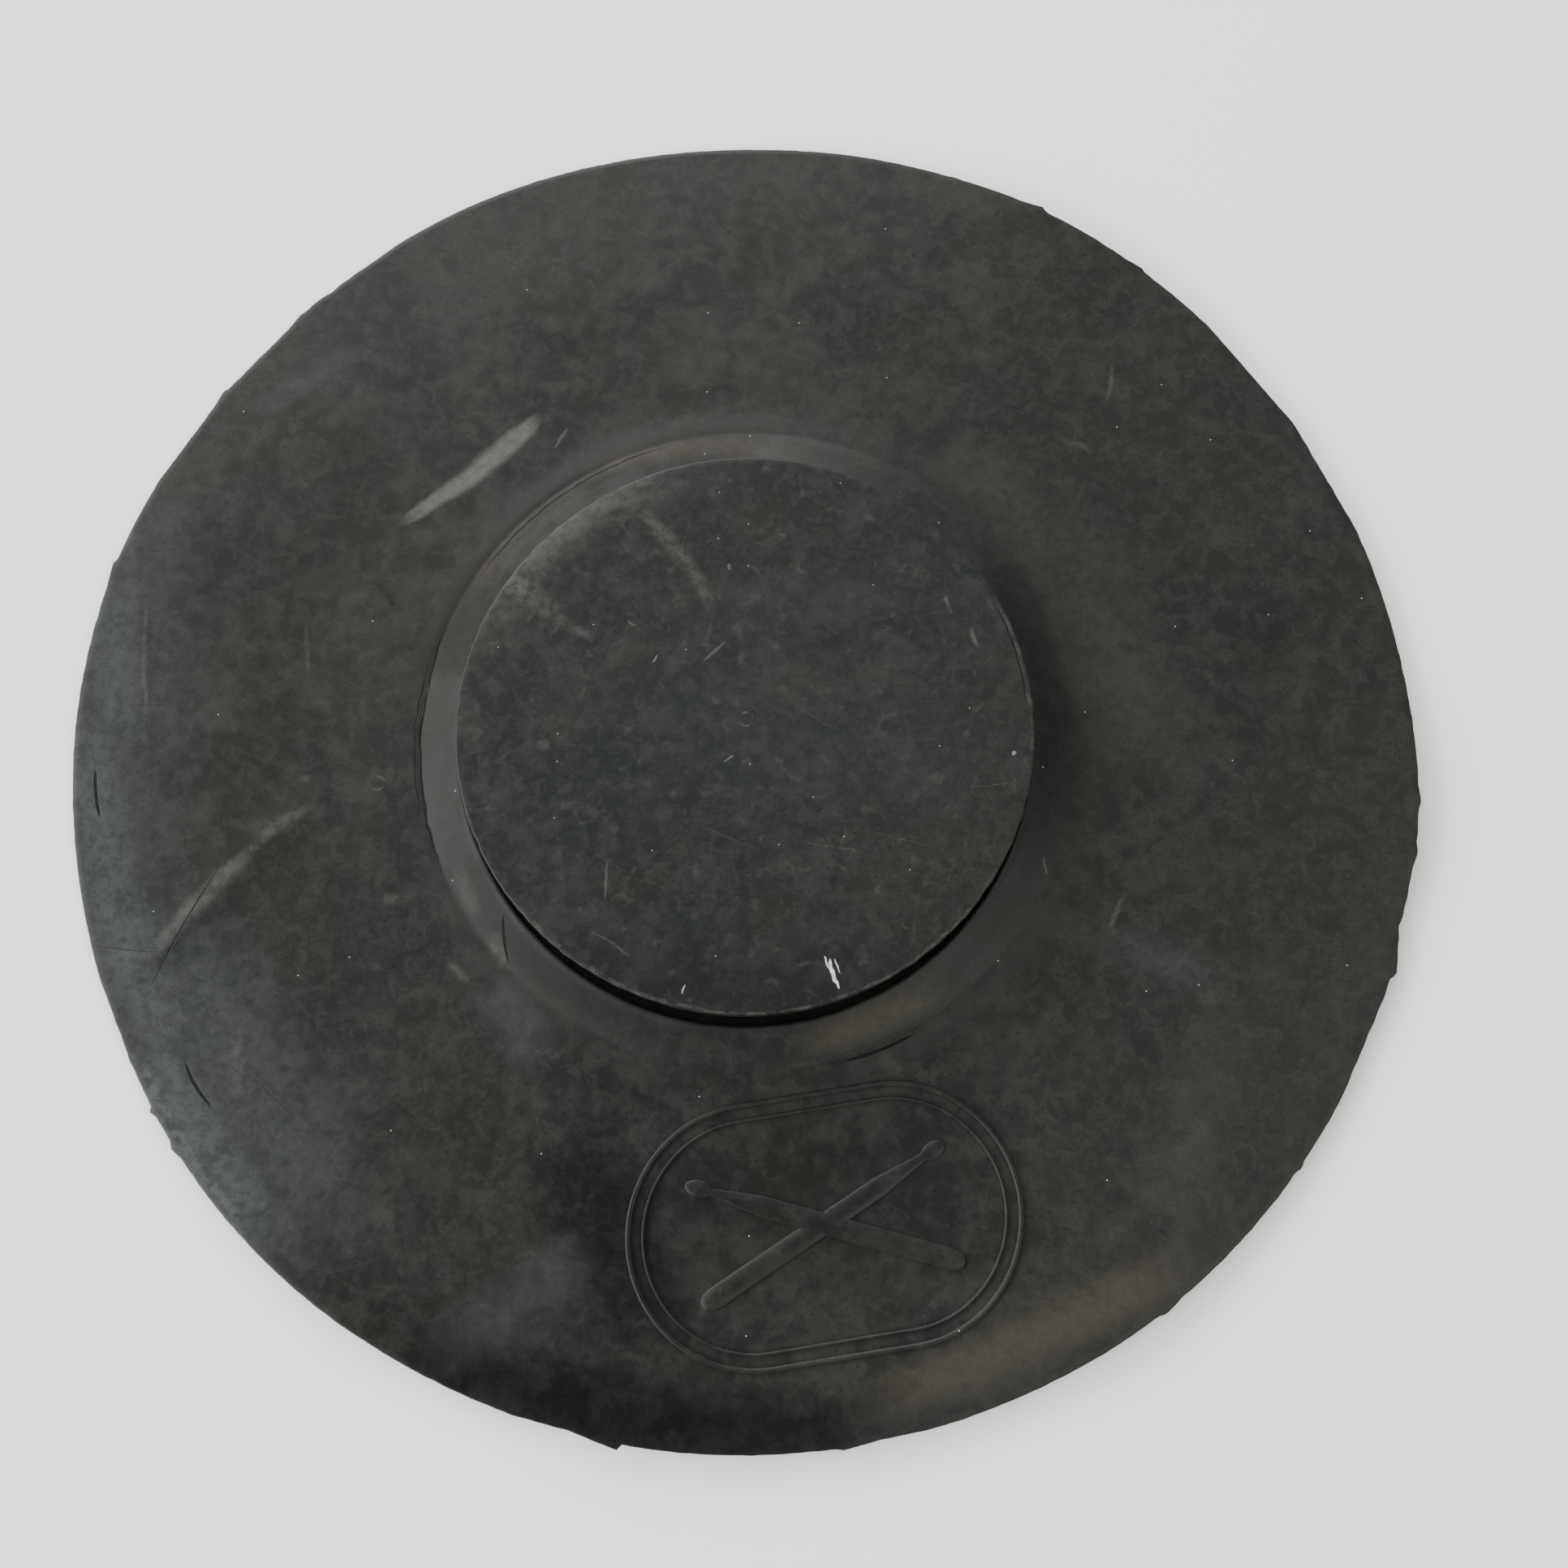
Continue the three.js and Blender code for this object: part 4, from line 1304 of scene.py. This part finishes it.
# %% World
BRIGHT_SIDE = (-0.8, 0.45, 0.4)
DARK_OVERHEAD = (-0.16, -0.3, 1.0)
ROOM_STRENGTH = 0.70
SIDE_STRENGTH = 0.65
OVERHEAD_DIMMING = 0.92
ROOM_TONE = (0.99, 1.0, 0.975, 1)
world = bpy.data.worlds.new("room")
world.use_nodes = True
tree = world.node_tree
direction = add(tree, "TexCoord").outputs["Generated"]


def facing_share(toward, low, high):
    """Goes from 0 to 1 as the direction turns towards a unit vector."""
    ends = {0: direction, 1: Vector(toward).normalized()}
    share = add(tree, "VectorMath", ends, operation="DOT_PRODUCT")
    return remap(tree, share.outputs["Value"], low, high)


bright_side = facing_share(BRIGHT_SIDE, -0.3, 0.9)
walls = calc(tree, "MULTIPLY_ADD", bright_side, SIDE_STRENGTH, ROOM_STRENGTH)
dimming = times(tree, facing_share(DARK_OVERHEAD, 0.80, 0.975), OVERHEAD_DIMMING)
backdrop = tree.nodes["Background"]
backdrop.inputs["Color"].default_value = ROOM_TONE
strength = times(tree, walls, calc(tree, "SUBTRACT", 1.0, dimming))
tree.links.new(strength, backdrop.inputs["Strength"])
bpy.context.scene.world = world
print("the room's strength goes from", ROOM_STRENGTH, "to", ROOM_STRENGTH + SIDE_STRENGTH)

# %% [markdown]
# ## The camera
#
# The camera looks almost straight down, from the emblem's side, about a third of a metre up. So near
# a wide lens is needed, and the near side of the pad comes out a little larger than the far side. A
# long lens from far off would lose that.

# %% Camera
CAMERA_PLACE = Vector((6.4, -81.8, 325.0)) * MM
CAMERA_TILT = math.radians(12.41)
CAMERA_LEAN = math.radians(-0.32)
CAMERA_LENS = 33.4  # in millimetres, on a sensor 36 wide
CAMERA_SENSOR = 36.0
CAMERA_NEAR = 0.01
camera_data = bpy.data.cameras.new("camera")
camera_data.sensor_width = CAMERA_SENSOR
camera_data.lens = CAMERA_LENS
camera_data.clip_start = CAMERA_NEAR
camera = bpy.data.objects.new("camera", camera_data)
camera.location = CAMERA_PLACE
camera.rotation_euler = (CAMERA_TILT, CAMERA_LEAN, 0.0)
bpy.context.scene.collection.objects.link(camera)
bpy.context.scene.camera = camera
print("camera in mm", [round(v / MM, 1) for v in camera.location])
